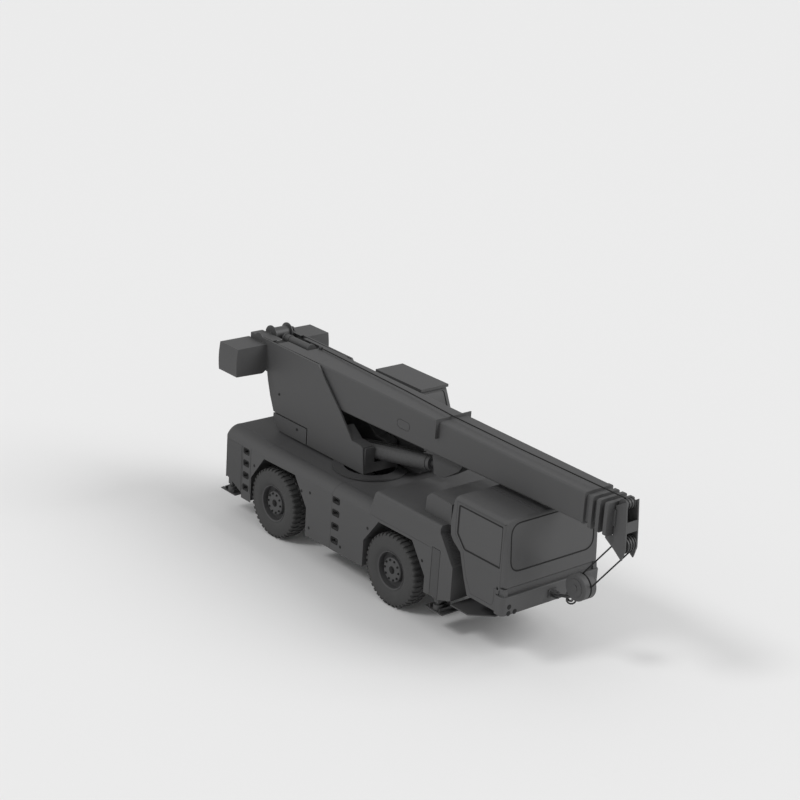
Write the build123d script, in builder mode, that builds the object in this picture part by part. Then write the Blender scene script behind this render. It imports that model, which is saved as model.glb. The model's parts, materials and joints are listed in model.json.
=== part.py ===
"""Two-axle mobile crane: carrier, slewing superstructure and five-part telescopic boom.

Millimetres. +X is the travelling direction, +Y the left side, +Z up, Z = 0 the ground.
The origin is at the middle of the machine's bounding box, on the ground.
"""
import os
from math import asin, cos, pi, radians, sin, sqrt

from build123d import *

os.makedirs("parts", exist_ok=True)

# ---------------------------------------------------------------- driving dimensions
REAR_AXLE_X = -3393
WHEELBASE = 3837
BODY_HALF = 1250  # half of the road width
SKIN = 10  # body sheet
GAP = 5  # between panels that only meet
RUN = 0.05  # radial clearance of pins and spindles
COVER_GAP = 12  # shadow gap round the outriggers' covers

TYRE_RADIUS = 750
TYRE_HALF_WIDTH = 215
TYRE_OUTER_Y = BODY_HALF - 30
RIM_RADIUS = 378
RIM_SHEET = 12
LUG_COUNT = 26
LUG_DEPTH = 30
LUG_LENGTH = 88
KINGPIN_Y = TYRE_OUTER_Y - 270
KINGPIN_RADIUS = 25

SLEW_OFFSET = 1630  # slewing axis ahead of the rear axle
RING_RADIUS = 780
RING_BOTTOM_Z = 1895
RING_THICKNESS = 35

BODY_REAR = 1632  # body end behind the rear axle
BODY_JOINT = 2000  # joint of the two body halves, ahead of the rear axle
BODY_FRONT = 5650
DECK_Z = 1880
SHOULDER_Z = 1720
HOOD_Z = 2240

PLATE_OUTER_Y = 450
PLATE = 40

BOOM_FOOT_OFFSET = -950  # boom pivot from the rear axle
BOOM_FOOT_Z = 3400
LUFF_FOOT_OFFSET = 620
LUFF_FOOT_Z = 2090
LUFF_EYE_OFFSET = 3850
LUFF_EYE_Z = 2700

FRONT_AXLE_X = REAR_AXLE_X + WHEELBASE
SLEW_X = REAR_AXLE_X + SLEW_OFFSET
AXLE_Z = TYRE_RADIUS
WHEEL_Y = TYRE_OUTER_Y - TYRE_HALF_WIDTH
RING_TOP_Z = RING_BOTTOM_Z + RING_THICKNESS

AXLES = {"front": FRONT_AXLE_X, "rear": REAR_AXLE_X}
SIDES = {"right": -1, "left": 1}


def side_plane(y):
    """Upright plane across Y: sketch x is +X, sketch y is +Z, the normal points to -Y."""
    return Plane(origin=(0, y, 0), x_dir=(1, 0, 0), z_dir=(0, -1, 0))


def cross_plane(x):
    """Upright plane across X: sketch x is +Y, sketch y is +Z, the normal points to +X."""
    return Plane(origin=(x, 0, 0), x_dir=(0, 1, 0), z_dir=(1, 0, 0))


def at(points, x0=REAR_AXLE_X):
    """Shift outline points, given ahead of the rear axle, into the machine's frame."""
    return [(x0 + x, z) for x, z in points]


# ---------------------------------------------------------------- chassis frame
RAIL_OUTER_Y = 380
RAIL_WIDTH = 80
RAIL_BOTTOM_Z = 1090
RAIL_TOP_Z = 1610
RAIL_NOSE_TOP_Z = 1370  # where the frame runs under the cab
RAIL_STEP = 5560
RAIL_END = 6820

BEAM_WIDTH = 130
BEAM_HEIGHT = 250
BEAM_Z = 960
BEAM_WALL = 12
BEAM_SLIDE = 5  # clearance all round in the box
BOX_WALL = 15
BOX_HALF = BODY_HALF - 220
LEG_Y = BODY_HALF - 120
STRUT_TOP_Z = 1100

# each corner's beam: side and place of the beam ahead of the rear axle
OUTRIGGERS = {
    "front_right": (-1, 5205),
    "front_left": (1, 5395),
    "rear_right": (-1, -1535),
    "rear_left": (1, -1345),
}
BOXES = {"front": (5205, 5395), "rear": (-1535, -1345)}
CROSSMEMBERS = (-950, 450, 2550, 3600, 4700, 6300)

with BuildPart() as chassis_frame:
    with BuildSketch(side_plane(RAIL_OUTER_Y)) as rail_outline:
        with BuildLine():
            Polyline(
                *at([
                    (-BODY_REAR + SKIN, RAIL_BOTTOM_Z),
                    (RAIL_END, RAIL_BOTTOM_Z),
                    (RAIL_END, RAIL_NOSE_TOP_Z),
                    (RAIL_STEP, RAIL_NOSE_TOP_Z),
                    (RAIL_STEP - 160, RAIL_TOP_Z),
                    (-BODY_REAR + SKIN, RAIL_TOP_Z),
                ]),
                close=True,
            )
        make_face()
    extrude(amount=RAIL_WIDTH)
    mirror(about=Plane.XZ)
    for x in CROSSMEMBERS:
        with Locations((REAR_AXLE_X + x, 0, RAIL_BOTTOM_Z + 130)):
            Box(120, 2 * RAIL_OUTER_Y, 240)
    for first, last in BOXES.values():
        length = last - first + BEAM_WIDTH + 2 * (BEAM_SLIDE + BOX_WALL)
        with Locations((REAR_AXLE_X + (first + last) / 2, 0, BEAM_Z)):
            Box(length, 2 * BOX_HALF, BEAM_HEIGHT + 2 * (BEAM_SLIDE + BOX_WALL))
    for first, last in BOXES.values():
        for x in (first, last):
            with Locations((REAR_AXLE_X + x, 0, BEAM_Z)):
                Box(
                    BEAM_WIDTH + 2 * BEAM_SLIDE,
                    2 * BOX_HALF + 2,
                    BEAM_HEIGHT + 2 * BEAM_SLIDE,
                    mode=Mode.SUBTRACT,
                )
    # brackets over the suspension struts
    for axle_x in AXLES.values():
        for sign in SIDES.values():
            with Locations((axle_x, sign * (RAIL_OUTER_Y + 90), STRUT_TOP_Z)):
                Box(150, 184, 160, align=(Align.CENTER, Align.CENTER, Align.MIN))
    # pedestal under the slewing ring
    with BuildSketch(Plane.XY.offset(RAIL_TOP_Z - 60)):
        with Locations((SLEW_X, 0)):
            Circle(620)
            Circle(540, mode=Mode.SUBTRACT)
    extrude(amount=RING_BOTTOM_Z - RAIL_TOP_Z + 60)
chassis_frame.part.label = "chassis_frame"
export_step(chassis_frame.part, "parts/chassis_frame.step")

with BuildPart() as slew_ring:
    with BuildSketch(Plane.XY.offset(RING_BOTTOM_Z)):
        with Locations((SLEW_X, 0)):
            Circle(RING_RADIUS)
            Circle(540, mode=Mode.SUBTRACT)
    extrude(amount=RING_THICKNESS)
slew_ring.part.label = "slew_ring"
export_step(slew_ring.part, "parts/slew_ring.step")

# ---------------------------------------------------------------- body halves
REAR_ARCH = [(-735, 300), (-735, 1087), (-304, 1654), (766, 1676), (1181, 1098), (1188, 300)]
FRONT_ARCH = [(3040, 300), (3040, 1104), (3461, 1649), (4468, 1656), (4886, 1071), (4886, 300)]
COVER_X = {"front": (5060, 5275), "rear": (-1632, -1070)}
COVER_Z = {"front": (745, 1740), "rear": (500, 1690)}
PEDESTAL_HOLE = 640
FOOTHOLD = 95
POCKET_DEPTH = 110
LINER_INNER_Y = RAIL_OUTER_Y + 20
REAR_LINER = [(-815, 320), (-815, 1140), (-360, 1690), (800, 1700), (1225, 1120), (1225, 320)]
FRONT_LINER = [(3025, 320), (3025, 1110), (3450, 1664), (4478, 1671), (4900, 1080), (4900, 320)]
REAR_RISE = 65  # the deck climbs this much towards the machine's rear end
RISE_START = -300


def deck_outline(inset, rise=0):
    """Cross-section of the deck in a line context: upright sides, round shoulders, nearly flat top."""
    half = BODY_HALF - inset
    shoulder = (BODY_HALF - 350, DECK_Z + rise - inset)
    bend = (BODY_HALF - 105 - 0.7 * inset, SHOULDER_Z + 118 + 0.8 * rise - 0.7 * inset)
    ThreePointArc((-half, SHOULDER_Z + 0.6 * rise), (-bend[0], bend[1]), (-shoulder[0], shoulder[1]))
    Polyline((-shoulder[0], shoulder[1]), shoulder)
    ThreePointArc(shoulder, bend, (half, SHOULDER_Z + 0.6 * rise))
    Polyline((half, SHOULDER_Z + 0.6 * rise), (half, 300), (-half, 300), (-half, SHOULDER_Z + 0.6 * rise))


def foothold_slots(x_start, x_end, heights):
    """Box solids that cut a column of footholds through both sides."""
    for z in heights:
        with Locations((REAR_AXLE_X + (x_start + x_end) / 2, 0, z)):
            Box(x_end - x_start, 2 * BODY_HALF + 2, FOOTHOLD, mode=Mode.SUBTRACT)


def foothold_pockets(x_start, x_end, heights):
    """Trays behind a column of footholds on both sides, open to the outside."""
    for z in heights:
        for sign in SIDES.values():
            with Locations((REAR_AXLE_X + (x_start + x_end) / 2, sign * (BODY_HALF - POCKET_DEPTH / 2 - 1), z)):
                Box(x_end - x_start + 2 * SKIN, POCKET_DEPTH - 2, FOOTHOLD + 2 * SKIN)
            with Locations((REAR_AXLE_X + (x_start + x_end) / 2, sign * (BODY_HALF + SKIN - POCKET_DEPTH / 2), z)):
                Box(x_end - x_start, POCKET_DEPTH, FOOTHOLD, mode=Mode.SUBTRACT)


def wheelhouse(outline):
    """Liners of a pair of wheel arches: the outline as a thin wall from the body sides to the frame."""
    with BuildPart() as liner:
        for sign in SIDES.values():
            with BuildSketch(side_plane(sign * (BODY_HALF - 1))):
                with BuildLine():
                    Polyline(*at(outline), close=True)
                make_face()
                offset(amount=SKIN, kind=Kind.INTERSECTION)
            extrude(amount=sign * (BODY_HALF - 1 - LINER_INNER_Y))
            with BuildSketch(side_plane(sign * BODY_HALF)):
                with BuildLine():
                    Polyline(*at(outline), close=True)
                make_face()
            extrude(amount=sign * (BODY_HALF - SKIN - LINER_INNER_Y), mode=Mode.SUBTRACT)
    return liner.part


rear_wheelhouse = wheelhouse(REAR_LINER)
front_wheelhouse = wheelhouse(FRONT_LINER)

with BuildPart() as rear_body:
    for inset, mode in ((0, Mode.ADD), (SKIN, Mode.SUBTRACT)):
        for x, rise in ((-BODY_REAR + inset, REAR_RISE), (RISE_START, 0)):
            with BuildSketch(cross_plane(REAR_AXLE_X + x)):
                with BuildLine():
                    deck_outline(inset, rise)
                make_face()
        loft(mode=mode)
        with BuildSketch(cross_plane(REAR_AXLE_X + RISE_START)):
            with BuildLine():
                deck_outline(inset)
            make_face()
        extrude(amount=BODY_JOINT - RISE_START + inset, mode=mode)
    add(rear_wheelhouse)
    foothold_pockets(-1000, -840, (1610, 1340, 1070, 790))
    for outline in (
        REAR_ARCH,
        [(-1800, 200), (-1800, 830), (-1440, 775), (-1065, 620), (-1065, 514), (-735, 514), (-735, 200)],
        [(1150, 200), (1150, 500), (2100, 525), (2100, 200)],
    ):
        with BuildSketch(side_plane(BODY_HALF + 1)):
            with BuildLine():
                Polyline(*at(outline), close=True)
            make_face()
        extrude(amount=2 * BODY_HALF + 2, mode=Mode.SUBTRACT)
    foothold_slots(-1000, -840, (1610, 1340, 1070, 790))
    with Locations((SLEW_X, 0, DECK_Z)):
        Cylinder(PEDESTAL_HOLE, 200, mode=Mode.SUBTRACT)
    # corner openings that the outriggers' covers close
    with Locations((REAR_AXLE_X + sum(COVER_X["rear"]) / 2, 0, sum(COVER_Z["rear"]) / 2)):
        Box(
            COVER_X["rear"][1] - COVER_X["rear"][0] - 2 * SKIN,
            2 * BODY_HALF + 2,
            COVER_Z["rear"][1] - COVER_Z["rear"][0],
            mode=Mode.SUBTRACT,
        )
rear_body.part.label = "rear_body"
export_step(rear_body.part, "parts/rear_body.step")


HOOD_START = 3190


def hood_outline(inset):
    """Side view of the hood: sloping back, flat top and sloping front."""
    return [
        (HOOD_START + inset, 300),
        (HOOD_START + inset, 1810),
        (3330 + inset, HOOD_Z - inset),
        (5250 - inset, HOOD_Z - inset),
        (5250 - inset, 2100),
        (5632 - inset, 1556 - inset),
        (BODY_FRONT - inset, 1540 - inset),
        (BODY_FRONT - inset, 300),
    ]


HOOD_ROUND = 70
FOOTHOLDS_FRONT = (1610, 1340, 1050, 745)
LOUVRES = 13
LOUVRE_DEPTH = 12
COWL_SIDE = [(4560, 2230), (4580, 2560), (4700, 2665), (5290, 2640), (5300, 2230)]
COWL_HALF = BODY_HALF - 200

with BuildPart() as hood_inside:
    with BuildSketch(side_plane(BODY_HALF - SKIN)):
        with BuildLine():
            Polyline(*at(hood_outline(SKIN)), close=True)
        make_face()
    extrude(amount=2 * (BODY_HALF - SKIN))
    fillet(hood_inside.edges().filter_by(Axis.X).group_by(Axis.Z)[-1], radius=HOOD_ROUND - SKIN)

with BuildPart() as front_body:
    with BuildSketch(side_plane(BODY_HALF)):
        with BuildLine():
            Polyline(*at(hood_outline(0)), close=True)
        make_face()
    extrude(amount=2 * BODY_HALF)
    fillet(front_body.edges().filter_by(Axis.X).group_by(Axis.Z)[-1], radius=HOOD_ROUND)
    with BuildSketch(cross_plane(REAR_AXLE_X + BODY_JOINT + GAP)):
        with BuildLine():
            deck_outline(0)
        make_face()
    extrude(amount=HOOD_START - BODY_JOINT)
    add(hood_inside.part, mode=Mode.SUBTRACT)
    with BuildSketch(cross_plane(REAR_AXLE_X + BODY_JOINT)):
        with BuildLine():
            deck_outline(SKIN)
        make_face()
    extrude(amount=HOOD_START - BODY_JOINT + 2 * SKIN, mode=Mode.SUBTRACT)
    add(front_wheelhouse)
    foothold_pockets(2045, 2230, FOOTHOLDS_FRONT)
    # cowl between the hood and the cab
    with BuildSketch(side_plane(COWL_HALF)):
        with BuildLine():
            Polyline(*at(COWL_SIDE), close=True)
        make_face()
    extrude(amount=2 * COWL_HALF)
    # pressed line along the hood's sides
    for sign in SIDES.values():
        with Locations((REAR_AXLE_X + 4250, sign * BODY_HALF, SHOULDER_Z)):
            Box(2100, 8, 10, mode=Mode.SUBTRACT)
    # louvres down the hood's sloping front
    for place in range(LOUVRES):
        share = (place + 0.5) / LOUVRES
        with Locations((REAR_AXLE_X + 5250 + share * 382, 0, 2100 - share * 544)):
            Box(LOUVRE_DEPTH, 2 * BODY_HALF - 160, LOUVRE_DEPTH, mode=Mode.SUBTRACT)
    for outline in (
        FRONT_ARCH,
        [(1900, 200), (1900, 512), (3040, 533), (3040, 200)],
        [(4886, 200), (4886, 735), (5060, 745), (5275, 735), (5700, 870), (5700, 200)],
    ):
        with BuildSketch(side_plane(BODY_HALF + 1)):
            with BuildLine():
                Polyline(*at(outline), close=True)
            make_face()
        extrude(amount=2 * BODY_HALF + 2, mode=Mode.SUBTRACT)
    foothold_slots(2045, 2230, FOOTHOLDS_FRONT)
    # the frame runs out under the cab
    with Locations((REAR_AXLE_X + BODY_FRONT, 0, RAIL_BOTTOM_Z - 300)):
        Box(100, 2 * (RAIL_OUTER_Y + 20), RAIL_TOP_Z - RAIL_BOTTOM_Z + 200, align=(Align.CENTER, Align.CENTER, Align.MIN), mode=Mode.SUBTRACT)
    with Locations((SLEW_X, 0, DECK_Z)):
        Cylinder(PEDESTAL_HOLE, 200, mode=Mode.SUBTRACT)
    for sign, beam_x in ((-1, OUTRIGGERS["front_right"][1]), (1, OUTRIGGERS["front_left"][1])):
        start = beam_x + COVER_X["front"][0] - OUTRIGGERS["front_right"][1] - COVER_GAP
        with Locations((REAR_AXLE_X + start, sign * BODY_HALF, COVER_Z["front"][0] - COVER_GAP)):
            Box(
                COVER_X["front"][1] - COVER_X["front"][0] + 2 * COVER_GAP,
                4 * SKIN,
                COVER_Z["front"][1] - COVER_Z["front"][0] + 2 * COVER_GAP,
                align=(Align.MIN, Align.CENTER, Align.MIN),
                mode=Mode.SUBTRACT,
            )
front_body.part.label = "front_body"
export_step(front_body.part, "parts/front_body.step")

# locker on the deck behind the turntable, hollowed round the slewing frame
LOCKER_HALF = PLATE_OUTER_Y
LOCKER_TOP = 2275
LOCKER_BOTTOM = DECK_Z + 50
SWING_LOW = 1620  # radius that the low parts of the superstructure sweep
with BuildPart() as deck_locker:
    with BuildSketch(side_plane(LOCKER_HALF)):
        with BuildLine():
            Polyline(
                *at([(-1106, LOCKER_TOP), (-1106, 2190), (-930, LOCKER_BOTTOM), (300, LOCKER_BOTTOM), (300, LOCKER_TOP)]),
                close=True,
            )
        make_face()
    extrude(amount=2 * LOCKER_HALF)
    with Locations((SLEW_X, 0, LOCKER_TOP)):
        Cylinder(SWING_LOW + 20, 1000, mode=Mode.SUBTRACT)
    for x in (-800, -100):
        for y in (-300, 300):
            deck_z = DECK_Z + REAR_RISE * max(0, RISE_START - x) / (BODY_REAR + RISE_START)
            with Locations((REAR_AXLE_X + x, y, deck_z - SKIN / 2)):
                Box(100, 60, LOCKER_BOTTOM - deck_z + SKIN / 2, align=(Align.CENTER, Align.CENTER, Align.MIN))
    add(rear_body.part, mode=Mode.SUBTRACT)
deck_locker.part.label = "deck_locker"
export_step(deck_locker.part, "parts/deck_locker.step")

with BuildPart() as engine:
    with Locations((REAR_AXLE_X + 4150, 0, RAIL_BOTTOM_Z + 250)):
        Box(1300, 560, 800, align=(Align.CENTER, Align.CENTER, Align.MIN))
engine.part.label = "engine"
export_step(engine.part, "parts/engine.step")

# ---------------------------------------------------------------- axles, knuckles, wheels
FORK_Y = KINGPIN_Y - 145
LUG_RADIUS = 60
LUG_INNER = 115  # half height of the knuckle between the fork's lugs
LUG_OUTER = 150
SPINDLE_RADIUS = 60
SPINDLE_END = KINGPIN_Y + 150

for axle, axle_x in AXLES.items():
    with BuildPart() as axle_beam:
        with BuildSketch(cross_plane(axle_x)):
            with BuildLine():
                Polyline(
                    (-FORK_Y, AXLE_Z), (-FORK_Y, AXLE_Z + 75), (-300, AXLE_Z + 75), (-170, AXLE_Z + 190),
                    (170, AXLE_Z + 190), (300, AXLE_Z + 75), (FORK_Y, AXLE_Z + 75), (FORK_Y, AXLE_Z), close=True,
                )
            make_face()
        revolve(axis=Axis((axle_x, 0, AXLE_Z), (0, 1, 0)))
        for sign in SIDES.values():
            with Locations((axle_x, sign * (FORK_Y + 25), AXLE_Z)):
                Box(110, 70, 2 * LUG_OUTER)
            for z in (-1, 1):
                middle = (LUG_INNER + LUG_OUTER) / 2
                with Locations((axle_x, sign * (FORK_Y + KINGPIN_Y) / 2, AXLE_Z + z * middle)):
                    Box(110, KINGPIN_Y - FORK_Y, LUG_OUTER - LUG_INNER)
                with Locations((axle_x, sign * KINGPIN_Y, AXLE_Z + z * middle)):
                    Cylinder(LUG_RADIUS, LUG_OUTER - LUG_INNER)
            with Locations((axle_x, sign * KINGPIN_Y, AXLE_Z)):
                Cylinder(KINGPIN_RADIUS + RUN, 400, mode=Mode.SUBTRACT)
            # suspension struts up to the frame's brackets
            with Locations((axle_x, sign * 500, AXLE_Z + 60)):
                Cylinder(48, STRUT_TOP_Z - AXLE_Z - 60, align=(Align.CENTER, Align.CENTER, Align.MIN))
    axle_beam.part.label = axle + "_axle"
    export_step(axle_beam.part, f"parts/{axle}_axle.step")

BEAD_HALF = 176
TYRE_BEAD = BEAD_HALF - 11
HUB_RADIUS = 250
TREAD_HALF = 192
LUG_ROOT = TYRE_RADIUS - LUG_DEPTH
LUG_TURN = asin(LUG_LENGTH / 2 / TYRE_RADIUS)  # half of a lug's top, as an angle
LUG_FOOT_TURN = 1.3 * LUG_TURN
# carcass section: distance from the middle and radius
TYRE_SECTION = [
    (-TYRE_BEAD, RIM_RADIUS), (-TYRE_HALF_WIDTH, 560), (-TREAD_HALF, LUG_ROOT - 20),
    (TREAD_HALF, LUG_ROOT - 20), (TYRE_HALF_WIDTH, 560), (TYRE_BEAD, RIM_RADIUS),
]


def tread_outline(row):
    """Geared outline of one row of lugs; each row has the edge of one lug straight below the axle."""
    points = []
    for place in range(LUG_COUNT):
        middle = 2 * pi * place / LUG_COUNT - pi / 2 + row * LUG_TURN
        for radius, turn in (
            (LUG_ROOT, -LUG_FOOT_TURN), (TYRE_RADIUS, -LUG_TURN), (TYRE_RADIUS, LUG_TURN), (LUG_ROOT, LUG_FOOT_TURN)
        ):
            points.append((radius * cos(middle + turn), radius * sin(middle + turn)))
    return points


for axle, axle_x in AXLES.items():
    for side, sign in SIDES.items():
        wheel = f"{axle}_{side}"
        centre_y = sign * WHEEL_Y
        spin = Axis((axle_x, centre_y, AXLE_Z), (0, 1, 0))
        with BuildPart() as knuckle:
            with Locations((axle_x, sign * KINGPIN_Y, AXLE_Z)):
                Cylinder(72, 2 * LUG_INNER - 4)
                Cylinder(KINGPIN_RADIUS, 2 * LUG_OUTER)
            with BuildSketch(cross_plane(axle_x)):
                with BuildLine():
                    Polyline(
                        (sign * (KINGPIN_Y + 40), AXLE_Z), (sign * (KINGPIN_Y + 40), AXLE_Z + 105),
                        (sign * (KINGPIN_Y + 62), AXLE_Z + 105), (sign * (KINGPIN_Y + 62), AXLE_Z + SPINDLE_RADIUS),
                        (sign * SPINDLE_END, AXLE_Z + SPINDLE_RADIUS), (sign * SPINDLE_END, AXLE_Z), close=True,
                    )
                make_face()
            revolve(axis=spin)
        knuckle.part.label = wheel + "_knuckle"
        export_step(knuckle.part, f"parts/{wheel}_knuckle.step")

        # deep-dished rim with the hub's flange standing in the dish
        with BuildPart() as rim:
            with BuildSketch(cross_plane(axle_x)):
                with BuildLine():
                    Polyline(*[
                        (centre_y + sign * w, AXLE_Z + r)
                        for w, r in (
                            (20, SPINDLE_RADIUS + RUN), (20, 190), (30, RIM_RADIUS - RIM_SHEET), (-BEAD_HALF, RIM_RADIUS - RIM_SHEET),
                            (-BEAD_HALF - RIM_SHEET, RIM_RADIUS + 12), (-BEAD_HALF, RIM_RADIUS + 12), (-BEAD_HALF, RIM_RADIUS),
                            (BEAD_HALF, RIM_RADIUS), (BEAD_HALF, RIM_RADIUS + 12), (BEAD_HALF + RIM_SHEET, RIM_RADIUS + 12),
                            (BEAD_HALF, RIM_RADIUS - RIM_SHEET), (50, RIM_RADIUS - RIM_SHEET), (42, HUB_RADIUS + 10),
                            (135, HUB_RADIUS), (150, HUB_RADIUS - 15), (150, 75), (138, 62), (118, 62), (118, 0), (100, 0),
                            (100, SPINDLE_RADIUS + RUN),
                        )
                    ], close=True)
                make_face()
            revolve(axis=spin)
        rim.part.label = wheel + "_rim"
        export_step(rim.part, f"parts/{wheel}_rim.step")

        with BuildPart() as tyre:
            with BuildSketch(cross_plane(axle_x)):
                with BuildLine():
                    Polyline(*[(centre_y + w, AXLE_Z + r) for w, r in TYRE_SECTION], close=True)
                make_face()
            revolve(axis=spin)
            for row in (-1, 1):
                with BuildSketch(side_plane(centre_y).shift_origin((axle_x, centre_y, AXLE_Z))):
                    with BuildLine():
                        Polyline(*tread_outline(row), close=True)
                    make_face()
                    Circle(LUG_ROOT - 40, mode=Mode.SUBTRACT)
                extrude(amount=row * TREAD_HALF)
        tyre.part.label = wheel + "_tyre"
        export_step(tyre.part, f"parts/{wheel}_tyre.step")

# ---------------------------------------------------------------- outriggers
BEAM_INNER_END = 1000
LEG_HALF = 65
PAD_BOTTOM_Z = 470
JACK_RADIUS = 45

for corner, (sign, beam_x) in OUTRIGGERS.items():
    end = corner.split("_")[0]
    x = REAR_AXLE_X + beam_x
    leg_top = COVER_Z[end][1] - 15
    cover_shift = beam_x - OUTRIGGERS[end + "_right"][1] if end == "front" else 0
    edge = 0 if end == "front" else SKIN + COVER_GAP
    cover_start = REAR_AXLE_X + COVER_X[end][0] + cover_shift + edge
    cover_end = REAR_AXLE_X + COVER_X[end][1] + cover_shift - edge
    with BuildPart() as beam:
        with Locations((x, sign * (LEG_Y - BEAM_INNER_END) / 2, BEAM_Z)):
            Box(BEAM_WIDTH, LEG_Y + BEAM_INNER_END, BEAM_HEIGHT)
        with Locations((x, -sign * BEAM_INNER_END, BEAM_Z)):
            Box(
                BEAM_WIDTH - 2 * BEAM_WALL,
                2 * (LEG_Y + BEAM_INNER_END - 80),
                BEAM_HEIGHT - 2 * BEAM_WALL,
                mode=Mode.SUBTRACT,
            )
        with Locations((x, sign * LEG_Y, 640)):
            Box(2 * LEG_HALF, 2 * LEG_HALF, leg_top - 640, align=(Align.CENTER, Align.CENTER, Align.MIN))
        with Locations((x, sign * LEG_Y, 600)):
            Cylinder(JACK_RADIUS + 1, 1000, align=(Align.CENTER, Align.CENTER, Align.MIN), mode=Mode.SUBTRACT)
        with BuildSketch(side_plane(sign * BODY_HALF)):
            if end == "front":
                with Locations(((cover_start + cover_end) / 2, (COVER_Z[end][0] + COVER_Z[end][1]) / 2)):
                    Rectangle(cover_end - cover_start, COVER_Z[end][1] - COVER_Z[end][0])
            else:
                with BuildLine():
                    Polyline(
                        (cover_start, 1685), (cover_end, 1685), (cover_end, 630),
                        (REAR_AXLE_X - 1440, 785), (cover_start, 835), close=True,
                    )
                make_face()
        extrude(amount=sign * SKIN)
        with Locations((x, sign * (BODY_HALF - SKIN + LEG_Y + LEG_HALF) / 2, BEAM_Z + 150)):
            Box(2 * LEG_HALF, BODY_HALF - SKIN - LEG_Y - LEG_HALF, 500)
    beam.part.label = f"{corner}_beam"
    export_step(beam.part, f"parts/{corner}_beam.step")

    with BuildPart() as jack:
        with Locations((x, sign * LEG_Y, PAD_BOTTOM_Z + 40)):
            Cylinder(JACK_RADIUS, 1000, align=(Align.CENTER, Align.CENTER, Align.MIN))
        with Locations((x, sign * (LEG_Y - 110), PAD_BOTTOM_Z)):
            Box(520, 460, 20, align=(Align.CENTER, Align.CENTER, Align.MIN))
        for rib in (-140, 0, 140):
            with Locations((x + rib, sign * (LEG_Y - 110), PAD_BOTTOM_Z + 15)):
                Box(16, 400, 70, align=(Align.CENTER, Align.CENTER, Align.MIN))
        with Locations((x, sign * LEG_Y, PAD_BOTTOM_Z + 15)):
            Cylinder(95, 110, align=(Align.CENTER, Align.CENTER, Align.MIN))
    jack.part.label = f"{corner}_jack"
    export_step(jack.part, f"parts/{corner}_jack.step")

# ---------------------------------------------------------------- carrier cab
CAB_HALF = BODY_HALF - 50
CAB_WALL = 45
CAB_ROOF = 2935
CAB_REAR = 5530
CAB_NOSE = 6985
CAB_BOTTOM = 1125
CAB_FLOOR = 1420
PANE_GAP = 12  # shadow gap round a window pane
PANE = 6
PANE_DEPTH = 4
PANE_LAP = 20
DOOR_EDGE = 6870
DOOR_HINGE = 10  # hinge line behind the door's front edge
JAMB_RADIUS = 34

CAB_SIDE = [
    (CAB_REAR, CAB_ROOF), (5455, 2390), (5480, 2150), (5560, 2050), (5770, 1900), (5840, 1660), (5930, 1390),
    (6035, CAB_BOTTOM), (6795, CAB_BOTTOM), (6795, 1560), (7000, 1640), (CAB_NOSE, 1900), (6900, CAB_ROOF),
]
DOOR_SIDE = [
    (5590, 2860), (5590, 2220), (5850, 1930), (5960, 1500), (6120, 1200), (6700, 1200), (6740, 1290), (6740, 1560),
    (DOOR_EDGE, 1600), (DOOR_EDGE, 2860),
]
DOOR_WINDOW = [(5661, 2803), (6838, 2798), (6842, 1998), (5876, 1997), (5654, 2244)]


SCREEN_LEAN = 4.7  # degrees that the windscreen leans back
SCREEN_Z = 2385
screen_plane = Plane(
    origin=(REAR_AXLE_X + CAB_NOSE - 50, 0, SCREEN_Z),
    x_dir=(0, 1, 0),
    z_dir=(cos(radians(SCREEN_LEAN)), 0, sin(radians(SCREEN_LEAN))),
)

with BuildPart() as cab_solid:
    with BuildSketch(side_plane(CAB_HALF)):
        with BuildLine():
            Polyline(*at(CAB_SIDE), close=True)
        make_face()
    extrude(amount=2 * CAB_HALF)
    fillet(cab_solid.edges().filter_by(Axis.X).group_by(Axis.Z)[-1], radius=110)
    nose_edges = cab_solid.edges().filter_by(
        lambda e: e.center().X > REAR_AXLE_X + 6850 and abs(abs(e.center().Y) - CAB_HALF) < 1 and e.length > 200
    )
    fillet(nose_edges, radius=70)

with BuildPart() as cab_inside:
    with BuildSketch(side_plane(CAB_HALF - CAB_WALL)):
        with BuildLine():
            Polyline(
                *at([
                    (CAB_REAR + CAB_WALL, CAB_ROOF - CAB_WALL), (5502, 2385), (5530, 2170), (5590, 2090), (5810, 1930),
                    (5885, 1670), (5970, CAB_FLOOR), (6750, CAB_FLOOR), (6750, 1590), (6950, 1665),
                    (CAB_NOSE - CAB_WALL, 1900), (6850, CAB_ROOF - CAB_WALL),
                ]),
                close=True,
            )
        make_face()
    extrude(amount=2 * (CAB_HALF - CAB_WALL))

with BuildPart() as cab_walls:
    add(cab_solid.part)
    add(cab_inside.part, mode=Mode.SUBTRACT)

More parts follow.
